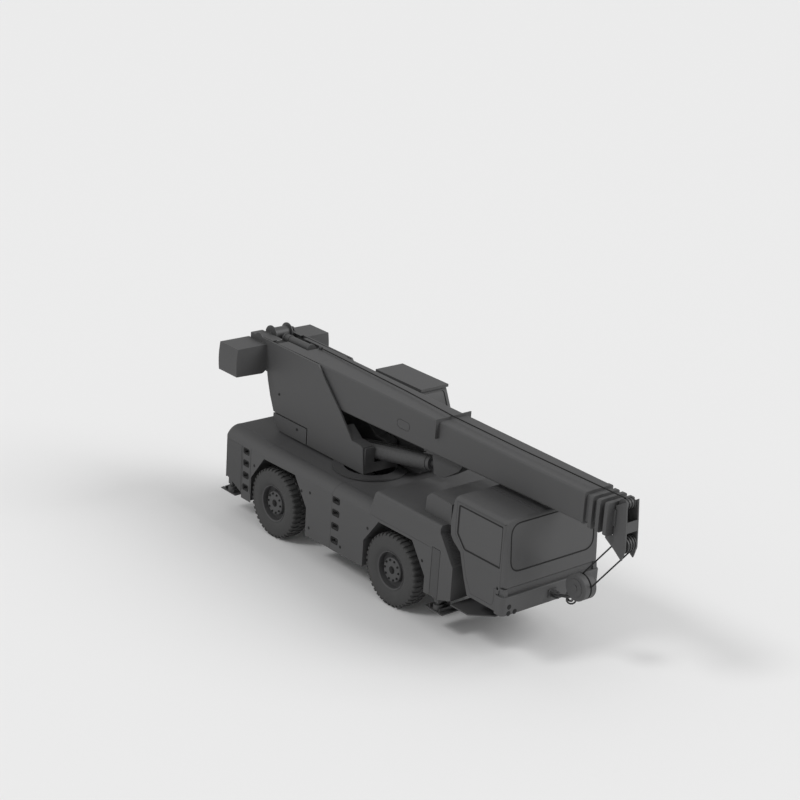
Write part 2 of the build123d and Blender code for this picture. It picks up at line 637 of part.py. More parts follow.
with BuildPart() as cab_shell:
    add(cab_walls.part)
    # open below the floor, over the frame
    with BuildSketch(side_plane(CAB_HALF - CAB_WALL)):
        with BuildLine():
            Polyline(*at([(6010, 1000), (6010, CAB_FLOOR - 40), (6850, CAB_FLOOR - 40), (6850, 1000)]), close=True)
        make_face()
    extrude(amount=2 * (CAB_HALF - CAB_WALL), mode=Mode.SUBTRACT)
    with Locations((REAR_AXLE_X + 6200, 0, CAB_FLOOR - 40)):
        Box(1300, 2 * (RAIL_OUTER_Y + 20), 600, align=(Align.CENTER, Align.CENTER, Align.MAX), mode=Mode.SUBTRACT)
    for sign in SIDES.values():
        with BuildSketch(side_plane(sign * (CAB_HALF + 5))):
            with BuildLine():
                Polyline(*at(DOOR_SIDE), close=True)
            make_face()
        extrude(amount=sign * (CAB_WALL + 5), mode=Mode.SUBTRACT)
        hinge = (REAR_AXLE_X + DOOR_EDGE - DOOR_HINGE, sign * (CAB_HALF - CAB_WALL / 2), 1560)
        with Locations(hinge):
            Cylinder(JAMB_RADIUS, 2860 - 1560, align=(Align.CENTER, Align.CENTER, Align.MIN), mode=Mode.SUBTRACT)
    # gutters along the roof
    for sign in SIDES.values():
        with Locations((REAR_AXLE_X + 6300, sign * 350, CAB_ROOF)):
            Box(1600, 50, 24, mode=Mode.SUBTRACT)
    # windscreen opening with the rebate that its pane seats in
    with BuildSketch(screen_plane):
        RectangleRounded(2120, 930, 190)
    extrude(amount=80, mode=Mode.SUBTRACT)
    with BuildSketch(screen_plane):
        RectangleRounded(2120 - 2 * PANE_LAP, 930 - 2 * PANE_LAP, 190 - PANE_LAP)
    extrude(amount=80, both=True, mode=Mode.SUBTRACT)
cab_shell.part.label = "cab_shell"
export_step(cab_shell.part, "parts/cab_shell.step")

for side, sign in SIDES.items():
    with BuildPart() as door:
        add(cab_walls.part)
        with BuildSketch(side_plane(sign * (CAB_HALF + 5))):
            with BuildLine():
                Polyline(*at(DOOR_SIDE), close=True)
            make_face()
            offset(amount=-GAP, mode=Mode.REPLACE)
        extrude(amount=sign * (CAB_WALL + 5), mode=Mode.INTERSECT)
        with BuildSketch(side_plane(sign * CAB_HALF)):
            with BuildLine():
                Polyline(*at(DOOR_WINDOW), close=True)
            make_face()
        extrude(amount=sign * (PANE_DEPTH + PANE), mode=Mode.SUBTRACT)
        with BuildSketch(side_plane(sign * CAB_HALF)):
            with BuildLine():
                Polyline(*at(DOOR_WINDOW), close=True)
            make_face()
            offset(amount=-PANE_LAP, mode=Mode.REPLACE)
        extrude(amount=sign * CAB_WALL, mode=Mode.SUBTRACT)
    door.part.label = f"cab_door_{side}"
    export_step(door.part, f"parts/cab_door_{side}.step")

    with BuildPart() as door_glass:
        with BuildSketch(side_plane(sign * (CAB_HALF - PANE_DEPTH))):
            with BuildLine():
                Polyline(*at(DOOR_WINDOW), close=True)
            make_face()
            offset(amount=-PANE_GAP, mode=Mode.REPLACE)
        extrude(amount=sign * PANE)
    door_glass.part.label = f"cab_door_glass_{side}"
    export_step(door_glass.part, f"parts/cab_door_glass_{side}.step")

with BuildPart() as windscreen:
    with BuildSketch(screen_plane):
        RectangleRounded(2120 - 2 * PANE_GAP, 930 - 2 * PANE_GAP, 190 - PANE_GAP)
    extrude(amount=PANE)
windscreen.part.label = "windscreen"
export_step(windscreen.part, "parts/windscreen.step")

# seats, dashboard and steering wheel
with BuildPart() as cab_interior:
    with BuildSketch(side_plane(CAB_HALF - CAB_WALL - 60)):
        with BuildLine():
            Polyline(*at([(6600, CAB_FLOOR), (6600, 1980), (6880, 1860), (6900, 1700), (6740, 1590), (6740, CAB_FLOOR)]), close=True)
        make_face()
    extrude(amount=2 * (CAB_HALF - CAB_WALL - 60))
    for sign in SIDES.values():
        with BuildSketch(side_plane(sign * 650 + 240)):
            with BuildLine():
                Polyline(
                    *at([
                        (6020, CAB_FLOOR), (6020, 1700), (5860, 2000), (5760, 2420), (5860, 2440), (6010, 2020), (6060, 1870),
                        (6440, 1880), (6450, 1760), (6150, 1700), (6150, CAB_FLOOR),
                    ]),
                    close=True,
                )
            make_face()
        extrude(amount=480)
    wheel_plane = Plane(origin=(REAR_AXLE_X + 6480, 650, 2090), x_dir=(0, 1, 0), z_dir=(-sin(radians(25)), 0, cos(radians(25))))
    with BuildSketch(wheel_plane):
        Circle(220)
        Circle(190, mode=Mode.SUBTRACT)
        Rectangle(400, 40)
        Circle(50)
    extrude(amount=25)
    with BuildSketch(wheel_plane):
        Circle(28)
    extrude(amount=-260)
cab_interior.part.label = "cab_interior"
export_step(cab_interior.part, "parts/cab_interior.step")

# ---------------------------------------------------------------- bumper, steps, coupling
BUMPER_REAR = 6830
BUMPER_FRONT = 7040
BUMPER_BOTTOM = 1100
BUMPER_TOP = 1475
LAMPS = ((BODY_HALF - 176, 1273), (BODY_HALF - 169, 1143), (BODY_HALF - 325, 1147))
with BuildPart() as front_bumper:
    with Locations((REAR_AXLE_X + (BUMPER_REAR + BUMPER_FRONT) / 2, 0, (BUMPER_BOTTOM + BUMPER_TOP) / 2)):
        Box(BUMPER_FRONT - BUMPER_REAR, 2 * BODY_HALF, BUMPER_TOP - BUMPER_BOTTOM)
    fillet(front_bumper.edges().filter_by(Axis.Z).group_by(Axis.X)[-1], radius=90)
    fillet(front_bumper.faces().sort_by(Axis.X)[-1].edges().filter_by(Axis.Y), radius=25)
    with Locations((REAR_AXLE_X + BUMPER_REAR, 0, (BUMPER_BOTTOM + BUMPER_TOP) / 2)):
        Box(2 * 165, 2 * BODY_HALF - 90, BUMPER_TOP - BUMPER_BOTTOM - 70, mode=Mode.SUBTRACT)
    # apron up to the cab's lower edge
    with BuildSketch(side_plane(BODY_HALF - 110)):
        with BuildLine():
            Polyline(*at([(6850, 1440), (6850, 1565), (6965, 1610), (6965, 1440)]), close=True)
        make_face()
    extrude(amount=2 * (BODY_HALF - 110))
    for y, z in LAMPS:
        for sign in SIDES.values():
            with Locations(Location((REAR_AXLE_X + BUMPER_FRONT, sign * y, z), (0, 90, 0))):
                Cylinder(44, 120, mode=Mode.SUBTRACT)
    for sign in SIDES.values():
        with Locations((REAR_AXLE_X + (RAIL_END + 6995) / 2, sign * (RAIL_OUTER_Y - RAIL_WIDTH / 2), 1250)):
            Box(6995 - RAIL_END, RAIL_WIDTH, 200)
front_bumper.part.label = "front_bumper"
export_step(front_bumper.part, "parts/front_bumper.step")

STEP_Z = 800
with BuildPart() as cab_steps:
    for sign in SIDES.values():
        with BuildSketch(Plane.XY.offset(STEP_Z - 25)):
            with BuildLine():
                Polyline(
                    *[(REAR_AXLE_X + x, sign * y) for x, y in ((5660, 560), (5660, BODY_HALF), (6150, BODY_HALF), (6480, BODY_HALF - 400), (6480, 560))],
                    close=True,
                )
            make_face()
        extrude(amount=25)
        with BuildSketch(side_plane(sign * 560)):
            with BuildLine():
                Polyline(*at([(5660, STEP_Z - 25), (6480, STEP_Z - 25), (6480, STEP_Z), (6420, RAIL_BOTTOM_Z + 60), (5760, RAIL_BOTTOM_Z + 60), (5660, STEP_Z)]), close=True)
            make_face()
        extrude(amount=-sign * 25)
        for x in (5800, 6400):
            with Locations((REAR_AXLE_X + x, sign * (560 + RAIL_OUTER_Y) / 2, RAIL_BOTTOM_Z + 30)):
                Box(60, 560 - RAIL_OUTER_Y, 60)
cab_steps.part.label = "cab_steps"
export_step(cab_steps.part, "parts/cab_steps.step")

TOW_Z = 1290
TOW_PIN_RADIUS = 20
with BuildPart() as tow_coupling:
    with Locations((REAR_AXLE_X + BUMPER_FRONT + 10, 0, TOW_Z)):
        Box(20, 200, 160)
    for z in (-1, 1):
        with Locations((REAR_AXLE_X + BUMPER_FRONT + 75, 0, TOW_Z + z * 45)):
            Box(120, 110, 20)
            with Locations((60, 0, 0)):
                Cylinder(55, 20)
    with Locations((REAR_AXLE_X + BUMPER_FRONT + 130, 0, TOW_Z)):
        Cylinder(TOW_PIN_RADIUS + 0.5, 200, mode=Mode.SUBTRACT)
tow_coupling.part.label = "tow_coupling"
export_step(tow_coupling.part, "parts/tow_coupling.step")

# ---------------------------------------------------------------- superstructure
FRAME_BOTTOM = RING_TOP_Z + 5
FRAME_STEP = LOCKER_TOP + 30
PIN_RADIUS = 60
WINCH_X = -1730
WINCH_Z = 3780
WINCH_AXLE = 50
WALL_OPENING = 170
COVER_SLOT = 180  # half width left open for the luffing cylinder
WINCH_FLANGES = ((-410, -150), (330, 410))  # their extent in Y
WINCH_FLANGE_LENGTH = 720  # ends behind the sweep of the boom's foot
TOP_CYLINDER_Y = 100
TOP_CYLINDER_Z = 3745
TOP_FLANGE_Z = 3798
PLATE_SIDE = [
    (-2020, 3810), (330, 3780), (1120, 3010), (1550, 2530), (1810, 2525), (1900, 2490), (1960, FRAME_BOTTOM),
    (80, FRAME_BOTTOM), (80, FRAME_STEP), (-1110, FRAME_STEP), (-1250, 2620), (-1350, 2930), (-1390, 3110),
    (-2020, 3130),
]
with BuildPart() as slewing_frame:
    for sign in SIDES.values():
        with BuildSketch(side_plane(sign * PLATE_OUTER_Y)):
            with BuildLine():
                Polyline(*at(PLATE_SIDE), close=True)
            make_face()
        extrude(amount=sign * PLATE)
    inner = PLATE_OUTER_Y - PLATE
    # base plate over the ring, front wall, rear floor and back
    for x_start, x_end, z_start, z_end in (
        (90, 1950, FRAME_BOTTOM, FRAME_BOTTOM + 40),
        (1910, 1950, FRAME_BOTTOM, 2140),
        (80, 120, FRAME_BOTTOM, FRAME_STEP + 40),
        (-1100, 120, FRAME_STEP, FRAME_STEP + 40),
        (-2010, -1400, 3140, 3180),
        (-2010, -1970, 3180, 3500),
    ):
        with Locations((REAR_AXLE_X + x_start, 0, z_start)):
            Box(x_end - x_start, 2 * inner, z_end - z_start, align=(Align.MIN, Align.CENTER, Align.MIN))
    for sign in SIDES.values():
        with Locations((REAR_AXLE_X + 1930, sign * (inner + WALL_OPENING) / 2, 2130)):
            Box(40, inner - WALL_OPENING, 350, align=(Align.CENTER, Align.CENTER, Align.MIN))
    # sloping cover between the side plates ahead of the boom
    with BuildSketch(side_plane(inner)):
        with BuildLine():
            Polyline(*at([(1250, 2750), (1550, 2530), (1810, 2525), (1900, 2490), (1900, 2460), (1800, 2495), (1540, 2500),
                          (1235, 2725)]), close=True)
        make_face()
    extrude(amount=2 * inner)
    with Locations((REAR_AXLE_X + 1075, 0, 2620)):
        Box(1850, 2 * COVER_SLOT, 330, mode=Mode.SUBTRACT)
    # flanges beside the winch
    for y_start, y_end in WINCH_FLANGES:
        with Locations((REAR_AXLE_X - 2020, y_start, TOP_FLANGE_Z)):
            Box(WINCH_FLANGE_LENGTH, y_end - y_start, 12, align=(Align.MIN, Align.MIN, Align.MIN))
    # long cylinder over the boom's foot, carried by a crossbeam behind the boom
    with Locations((REAR_AXLE_X - 1410, 0, 3660)):
        Box(180, 2 * inner, 40, align=(Align.CENTER, Align.CENTER, Align.MIN))
    with Locations((REAR_AXLE_X - 1410, TOP_CYLINDER_Y, 3690)):
        Box(160, 150, 40, align=(Align.CENTER, Align.CENTER, Align.MIN))
    for start, length, radius in ((-1500, 900, 88), (-1500, 40, 108), (-1340, 30, 104), (-660, 60, 110)):
        with BuildSketch(cross_plane(REAR_AXLE_X + start)):
            with Locations((TOP_CYLINDER_Y, TOP_CYLINDER_Z)):
                Circle(radius)
        extrude(amount=length)
    with Locations(Location((REAR_AXLE_X + BOOM_FOOT_OFFSET, 0, BOOM_FOOT_Z), (90, 0, 0))):
        Cylinder(PIN_RADIUS, 2 * inner + 4)
    for sign in SIDES.values():
        with Locations(Location((REAR_AXLE_X + WINCH_X, sign * (PLATE_OUTER_Y - PLATE / 2), WINCH_Z - 35), (90, 0, 0))):
            Cylinder(130, PLATE)
    with Locations(Location((REAR_AXLE_X + WINCH_X, 0, WINCH_Z), (90, 0, 0))):
        Cylinder(WINCH_AXLE, 2 * inner + 4)
    # ears that carry the luffing cylinder's foot
    for sign in SIDES.values():
        with BuildSketch(side_plane(sign * 150)):
            with BuildLine():
                Polyline(*at([(LUFF_FOOT_OFFSET - 150, FRAME_BOTTOM), (LUFF_FOOT_OFFSET - 80, 2180), (LUFF_FOOT_OFFSET + 80, 2180), (LUFF_FOOT_OFFSET + 150, FRAME_BOTTOM)]), close=True)
            make_face()
        extrude(amount=-sign * 40)
    with Locations(Location((REAR_AXLE_X + LUFF_FOOT_OFFSET, 0, LUFF_FOOT_Z), (90, 0, 0))):
        Cylinder(45, 2 * 170)
slewing_frame.part.label = "slewing_frame"
export_step(slewing_frame.part, "parts/slewing_frame.step")

WEIGHT_OUTER = BODY_HALF - 30
with BuildPart() as counterweights:
    for sign in SIDES.values():
        with BuildSketch(cross_plane(REAR_AXLE_X - 2084)):
            with BuildLine():
                Polyline(*[(sign * y, z) for y, z in ((WEIGHT_OUTER - 30, 3700), (PLATE_OUTER_Y, 3700), (PLATE_OUTER_Y, 3190))])
                ThreePointArc(*[(sign * y, z) for y, z in ((PLATE_OUTER_Y, 3190), (485, 3105), (570, 3070))])
                Polyline(*[(sign * y, z) for y, z in ((570, 3070), (WEIGHT_OUTER - 15, 3090))])
                ThreePointArc(
                    *[(sign * y, z) for y, z in ((WEIGHT_OUTER - 15, 3090), (WEIGHT_OUTER, 3400), (WEIGHT_OUTER - 30, 3700))]
                )
            make_face()
        extrude(amount=650)
counterweights.part.label = "counterweights"
export_step(counterweights.part, "parts/counterweights.step")

DRUM_RADIUS = 140
FLANGE_RADIUS = 200
DRUM_FLANGES = (-130, 310)
with BuildPart() as winch_drum:
    winch_axis = Axis((REAR_AXLE_X + WINCH_X, 0, WINCH_Z), (0, 1, 0))
    with BuildSketch(cross_plane(REAR_AXLE_X + WINCH_X)):
        with BuildLine():
            Polyline(
                (DRUM_FLANGES[0], WINCH_Z), (DRUM_FLANGES[0], WINCH_Z + FLANGE_RADIUS),
                (DRUM_FLANGES[0] + 20, WINCH_Z + FLANGE_RADIUS), (DRUM_FLANGES[0] + 20, WINCH_Z + DRUM_RADIUS),
                (DRUM_FLANGES[1] - 20, WINCH_Z + DRUM_RADIUS), (DRUM_FLANGES[1] - 20, WINCH_Z + FLANGE_RADIUS),
                (DRUM_FLANGES[1], WINCH_Z + FLANGE_RADIUS), (DRUM_FLANGES[1], WINCH_Z), close=True,
            )
        make_face()
    revolve(axis=winch_axis)
    with Locations(Location((REAR_AXLE_X + WINCH_X, 0, WINCH_Z), (90, 0, 0))):
        Cylinder(WINCH_AXLE + RUN, 2 * inner, mode=Mode.SUBTRACT)
winch_drum.part.label = "winch_drum"
export_step(winch_drum.part, "parts/winch_drum.step")

# ---------------------------------------------------------------- operator's cab
OP_INNER = 500
OP_OUTER = BODY_HALF - 30
OP_WALL = 40
OP_SIDE = [(1030, 3740), (1030, 2050), (1150, 1965), (2560, 1965), (2660, 2100), (2690, 2700), (2600, 3250), (2370, 3740)]
OP_DOOR = [(1120, 3640), (1120, 2270), (1900, 2270), (1900, 3640)]  # its sill stands above the hood
OP_DOOR_WINDOW = [(1190, 3570), (1190, 2700), (1830, 2700), (1830, 3570)]
OP_SIDE_WINDOW = [(2000, 3620), (2000, 2700), (2590, 2700), (2520, 3240), (2340, 3620)]
op_middle = (OP_INNER + OP_OUTER) / 2

with BuildPart() as op_walls:
    with BuildSketch(side_plane(OP_OUTER)):
        with BuildLine():
            Polyline(*at(OP_SIDE), close=True)
        make_face()
    extrude(amount=OP_OUTER - OP_INNER)
    with BuildSketch(side_plane(OP_OUTER - OP_WALL)):
        with BuildLine():
            Polyline(*at(OP_SIDE), close=True)
        make_face()
        offset(amount=-OP_WALL, mode=Mode.REPLACE)
    extrude(amount=OP_OUTER - OP_INNER - 2 * OP_WALL, mode=Mode.SUBTRACT)

with BuildPart() as operator_cab:
    add(op_walls.part)
    for outline, depth in ((OP_DOOR, OP_WALL + 5),):
        with BuildSketch(side_plane(OP_OUTER + 5)):
            with BuildLine():
                Polyline(*at(outline), close=True)
            make_face()
        extrude(amount=depth + 5, mode=Mode.SUBTRACT)
    with BuildSketch(side_plane(OP_OUTER)):
        with BuildLine():
            Polyline(*at(OP_SIDE_WINDOW), close=True)
        make_face()
    extrude(amount=PANE_DEPTH + PANE, mode=Mode.SUBTRACT)
    with BuildSketch(side_plane(OP_OUTER)):
        with BuildLine():
            Polyline(*at(OP_SIDE_WINDOW), close=True)
        make_face()
        offset(amount=-PANE_LAP, mode=Mode.REPLACE)
    extrude(amount=OP_WALL, mode=Mode.SUBTRACT)
    # room for the door's edge behind its hinges
    with Locations((REAR_AXLE_X + 1130, OP_OUTER - OP_WALL / 2, OP_DOOR[1][1])):
        Cylinder(
            JAMB_RADIUS, OP_DOOR[0][1] - OP_DOOR[1][1], align=(Align.CENTER, Align.CENTER, Align.MIN), mode=Mode.SUBTRACT
        )
    # front windows
    with BuildSketch(cross_plane(REAR_AXLE_X + 2200)):
        with Locations((op_middle, 2960)):
            RectangleRounded(580, 1300, 60)
    extrude(amount=700, mode=Mode.SUBTRACT)
    # visor over the front windows
    with Locations((REAR_AXLE_X + 2400, op_middle, 3712)):
        Box(150, OP_OUTER - OP_INNER, 56)
    # carriers to the side plate
    with Locations((REAR_AXLE_X + 1500, (PLATE_OUTER_Y + OP_INNER) / 2, 2250)):
        Box(500, OP_INNER - PLATE_OUTER_Y, 300)
operator_cab.part.label = "operator_cab"
export_step(operator_cab.part, "parts/operator_cab.step")

with BuildPart() as operator_door:
    with BuildSketch(side_plane(OP_OUTER)):
        with BuildLine():
            Polyline(*at(OP_DOOR), close=True)
        make_face()
        offset(amount=-GAP, mode=Mode.REPLACE)
    extrude(amount=OP_WALL)
    with BuildSketch(side_plane(OP_OUTER)):
        with BuildLine():
            Polyline(*at(OP_DOOR_WINDOW), close=True)
        make_face()
    extrude(amount=PANE_DEPTH + PANE, mode=Mode.SUBTRACT)
    with BuildSketch(side_plane(OP_OUTER)):
        with BuildLine():
            Polyline(*at(OP_DOOR_WINDOW), close=True)
        make_face()
        offset(amount=-PANE_LAP, mode=Mode.REPLACE)
    extrude(amount=OP_WALL, mode=Mode.SUBTRACT)
operator_door.part.label = "operator_door"
export_step(operator_door.part, "parts/operator_door.step")

with BuildPart() as operator_door_glass:
    with BuildSketch(side_plane(OP_OUTER - PANE_DEPTH)):
        with BuildLine():
            Polyline(*at(OP_DOOR_WINDOW), close=True)
        make_face()
        offset(amount=-PANE_GAP, mode=Mode.REPLACE)
    extrude(amount=PANE)
operator_door_glass.part.label = "operator_door_glass"
export_step(operator_door_glass.part, "parts/operator_door_glass.step")

with BuildPart() as operator_glass:
    with BuildSketch(side_plane(OP_OUTER - PANE_DEPTH)):
        with BuildLine():
            Polyline(*at(OP_SIDE_WINDOW), close=True)
        make_face()
        offset(amount=-PANE_GAP, mode=Mode.REPLACE)
    extrude(amount=PANE)
operator_glass.part.label = "operator_glass"
export_step(operator_glass.part, "parts/operator_glass.step")

with BuildPart() as operator_seat:
    with BuildSketch(side_plane(op_middle + 230)):
        with BuildLine():
            Polyline(
                *at([
                    (1400, 2005), (1400, 2350), (1230, 2700), (1180, 3150), (1290, 3160), (1400, 2750), (1450, 2560), (1850, 2570),
                    (1860, 2440), (1600, 2350), (1600, 2005),
                ]),
                close=True,
            )
        make_face()
    extrude(amount=460)
operator_seat.part.label = "operator_seat"
export_step(operator_seat.part, "parts/operator_seat.step")

# ---------------------------------------------------------------- luffing cylinder
foot = (REAR_AXLE_X + LUFF_FOOT_OFFSET, 0, LUFF_FOOT_Z)
eye = (REAR_AXLE_X + LUFF_EYE_OFFSET, 0, LUFF_EYE_Z)
luff_run = (eye[0] - foot[0], eye[2] - foot[2])
luff_length = sqrt(luff_run[0] ** 2 + luff_run[1] ** 2)
luff_x = (luff_run[0] / luff_length, 0, luff_run[1] / luff_length)
LUFF_STROKE = 2420
BARREL_RADIUS = 140
BARREL_BORE = 122
ROD_RADIUS = 80
BARREL_START = 160
BARREL_END = 2980
PISTON_START = 330


def along_luff(distance):
    """Plane across the cylinder at a distance from its foot pin."""
    return Plane(
        origin=(foot[0] + luff_x[0] * distance, 0, foot[2] + luff_x[2] * distance), x_dir=(0, 1, 0), z_dir=luff_x
    )


with BuildPart() as luff_barrel:
    with BuildSketch(along_luff(BARREL_START)):
        Circle(BARREL_RADIUS)
    extrude(amount=BARREL_END - BARREL_START)
    with BuildSketch(along_luff(BARREL_END - 120)):
        Circle(BARREL_RADIUS + 15)
    extrude(amount=120)
    with BuildSketch(along_luff(BARREL_START + 120)):
        Circle(BARREL_BORE)
    extrude(amount=BARREL_END - BARREL_START - 220, mode=Mode.SUBTRACT)
    with BuildSketch(along_luff(BARREL_END - 130)):
        Circle(ROD_RADIUS + RUN)
    extrude(amount=200, mode=Mode.SUBTRACT)
    with Locations(Location(foot, (90, 0, 0))):
        Cylinder(105, 220)
    with BuildSketch(along_luff(0)):
        Rectangle(180, 170)
    extrude(amount=BARREL_START + 10)
    with Locations(Location(foot, (90, 0, 0))):
        Cylinder(45 + RUN, 300, mode=Mode.SUBTRACT)
luff_barrel.part.label = "luff_barrel"
export_step(luff_barrel.part, "parts/luff_barrel.step")

EYE_RADIUS = 105
EYE_HALF = 95
with BuildPart() as luff_rod:
    with BuildSketch(along_luff(PISTON_START)):
        Circle(BARREL_BORE - 1)
    extrude(amount=120)
    with BuildSketch(along_luff(PISTON_START)):
        Circle(ROD_RADIUS)
    extrude(amount=luff_length - PISTON_START - 60)
    with Locations(Location(eye, (90, 0, 0))):
        Cylinder(EYE_RADIUS, 2 * EYE_HALF)
        Cylinder(45, 2 * EYE_HALF + 20)
luff_rod.part.label = "luff_rod"
export_step(luff_rod.part, "parts/luff_rod.step")

# ---------------------------------------------------------------- boom
BOOM_WALL = 12
BASE_REAR = 100
BASE_FRONT = 7950
BASE_REAR_HALF = 385
BASE_FRONT_HALF = 345
BASE_REAR_Z = (2980, 3790)
BASE_FRONT_Z = (3100, 3700)
SECTION_WALL = 10
SLIDE_PLAY = 1  # clearance at the slide pads
COLLAR_HALF = 335
COLLAR_Z = (3055, 3685)
COLLAR_LENGTH = 80
PAD_LENGTH = 120
FORK_INNER = 118
FORK_PLATE = 40
# top strips over the boom's foot: rear end and extent in Y
BOOM_STRIPS = ((-1150, -385, -100), (-1150, 300, 385), (-480, -101, 301))
HEAD_SHEAVE = (8710, 2920)
TOP_SHEAVE = (8640, 3670)
# half width, bottom, top, rear end, front end
SECTIONS = {
    "boom_section_1": (300, 3135, 3655, 600, 8130),
    "boom_section_2": (262, 3175, 3620, 750, 8310),
    "boom_section_3": (226, 3210, 3585, 900, 8500),
    "boom_section_4": (190, 3245, 3550, 1050, 8560),
}
BASE_INNER = (BASE_FRONT_HALF - BOOM_WALL, BASE_FRONT_Z[0] + BOOM_WALL, BASE_FRONT_Z[1] - BOOM_WALL)

with BuildPart() as boom_base:
    for x, half, (bottom, top) in ((BASE_REAR, BASE_REAR_HALF, BASE_REAR_Z), (BASE_FRONT, BASE_FRONT_HALF, BASE_FRONT_Z)):
        with BuildSketch(cross_plane(REAR_AXLE_X + x)):
            with Locations((0, (bottom + top) / 2)):
                RectangleRounded(2 * half, top - bottom, 45)
    loft()
    # flange round the upper half, front collar
    with BuildSketch(cross_plane(REAR_AXLE_X + 3998)):
        with Locations((0, 3600)):
            Rectangle(902, 400)
    extrude(amount=25)
    with BuildSketch(cross_plane(REAR_AXLE_X + BASE_FRONT - COLLAR_LENGTH)):
        with Locations((0, (BASE_FRONT_Z[0] + BASE_FRONT_Z[1]) / 2)):
            RectangleRounded(2 * BASE_FRONT_HALF + 20, BASE_FRONT_Z[1] - BASE_FRONT_Z[0] + 20, 50)
    extrude(amount=COLLAR_LENGTH)
    # fork for the cylinder's eye
    for sign in SIDES.values():
        with BuildSketch(side_plane(sign * FORK_INNER)):
            with BuildLine():
                Polyline(*at([(3640, 3060), (3740, 2540), (3850, 2500), (4050, 2550), (4450, 2820), (4620, 3060)]), close=True)
            make_face()
        extrude(amount=-sign * FORK_PLATE)
    with BuildSketch(side_plane(FORK_INNER)):
        with BuildLine():
            Polyline(
                *at([(4050, 2550), (4450, 2820), (4640, 3070), (4615, 3090), (4425, 2845), (4035, 2575)]), close=True
            )
        make_face()
    extrude(amount=2 * FORK_INNER)
    # side plates back to the foot pin
    for sign in SIDES.values():
        with BuildSketch(side_plane(sign * BASE_REAR_HALF)):
            with BuildLine():
                Polyline(*at([(250, 3785), (-1150, 3790), (-1150, 3420), (-1000, 3207), (100, 2990), (250, 2990)]), close=True)
            make_face()
            with Locations((REAR_AXLE_X + BOOM_FOOT_OFFSET, BOOM_FOOT_Z)):
                Circle(200)
        extrude(amount=sign * 40)
        with BuildSketch(side_plane(sign * (PLATE_OUTER_Y - PLATE - 10))):
            with Locations((REAR_AXLE_X + BOOM_FOOT_OFFSET, BOOM_FOOT_Z)):
                Circle(140)
        extrude(amount=sign * 70)
    for x_start, y_start, y_end in BOOM_STRIPS:
        with Locations((REAR_AXLE_X + x_start, y_start, 3776)):
            Box(200 - x_start, y_end - y_start, 14, align=(Align.MIN, Align.MIN, Align.MIN))
    for x in (BASE_REAR + BOOM_WALL, BASE_FRONT + 10):
        share = (x - BASE_REAR) / (BASE_FRONT - BASE_REAR)
        half = BASE_REAR_HALF + share * (BASE_FRONT_HALF - BASE_REAR_HALF) - BOOM_WALL
        bottom = BASE_REAR_Z[0] + share * (BASE_FRONT_Z[0] - BASE_REAR_Z[0]) + BOOM_WALL
        top = BASE_REAR_Z[1] + share * (BASE_FRONT_Z[1] - BASE_REAR_Z[1]) - BOOM_WALL
        with BuildSketch(cross_plane(REAR_AXLE_X + x)):
            with Locations((0, (bottom + top) / 2)):
                RectangleRounded(2 * half, top - bottom, 35)
    loft(mode=Mode.SUBTRACT)
    with Locations(Location((REAR_AXLE_X + BOOM_FOOT_OFFSET, 0, BOOM_FOOT_Z), (90, 0, 0))):
        Cylinder(PIN_RADIUS + RUN, 2 * PLATE_OUTER_Y, mode=Mode.SUBTRACT)
    # ring groove in the right side
    with BuildSketch(side_plane(-360)):
        with Locations((REAR_AXLE_X + 2995, 3335)):
            SlotOverall(390, 190)
            SlotOverall(368, 168, mode=Mode.SUBTRACT)
    extrude(amount=30, mode=Mode.SUBTRACT)
    # slide pads at the mouth
    with BuildSketch(cross_plane(REAR_AXLE_X + BASE_FRONT - PAD_LENGTH)):
        half, bottom, top = BASE_INNER
        with Locations((0, (bottom + top) / 2)):
            RectangleRounded(2 * half + 4, top - bottom + 4, 40)
        half, bottom, top = SECTIONS["boom_section_1"][:3]
        with Locations((0, (bottom + top) / 2)):
            RectangleRounded(2 * (half + SLIDE_PLAY), top - bottom + 2 * SLIDE_PLAY, 30, mode=Mode.SUBTRACT)
    extrude(amount=PAD_LENGTH)
boom_base.part.label = "boom_base"
export_step(boom_base.part, "parts/boom_base.step")

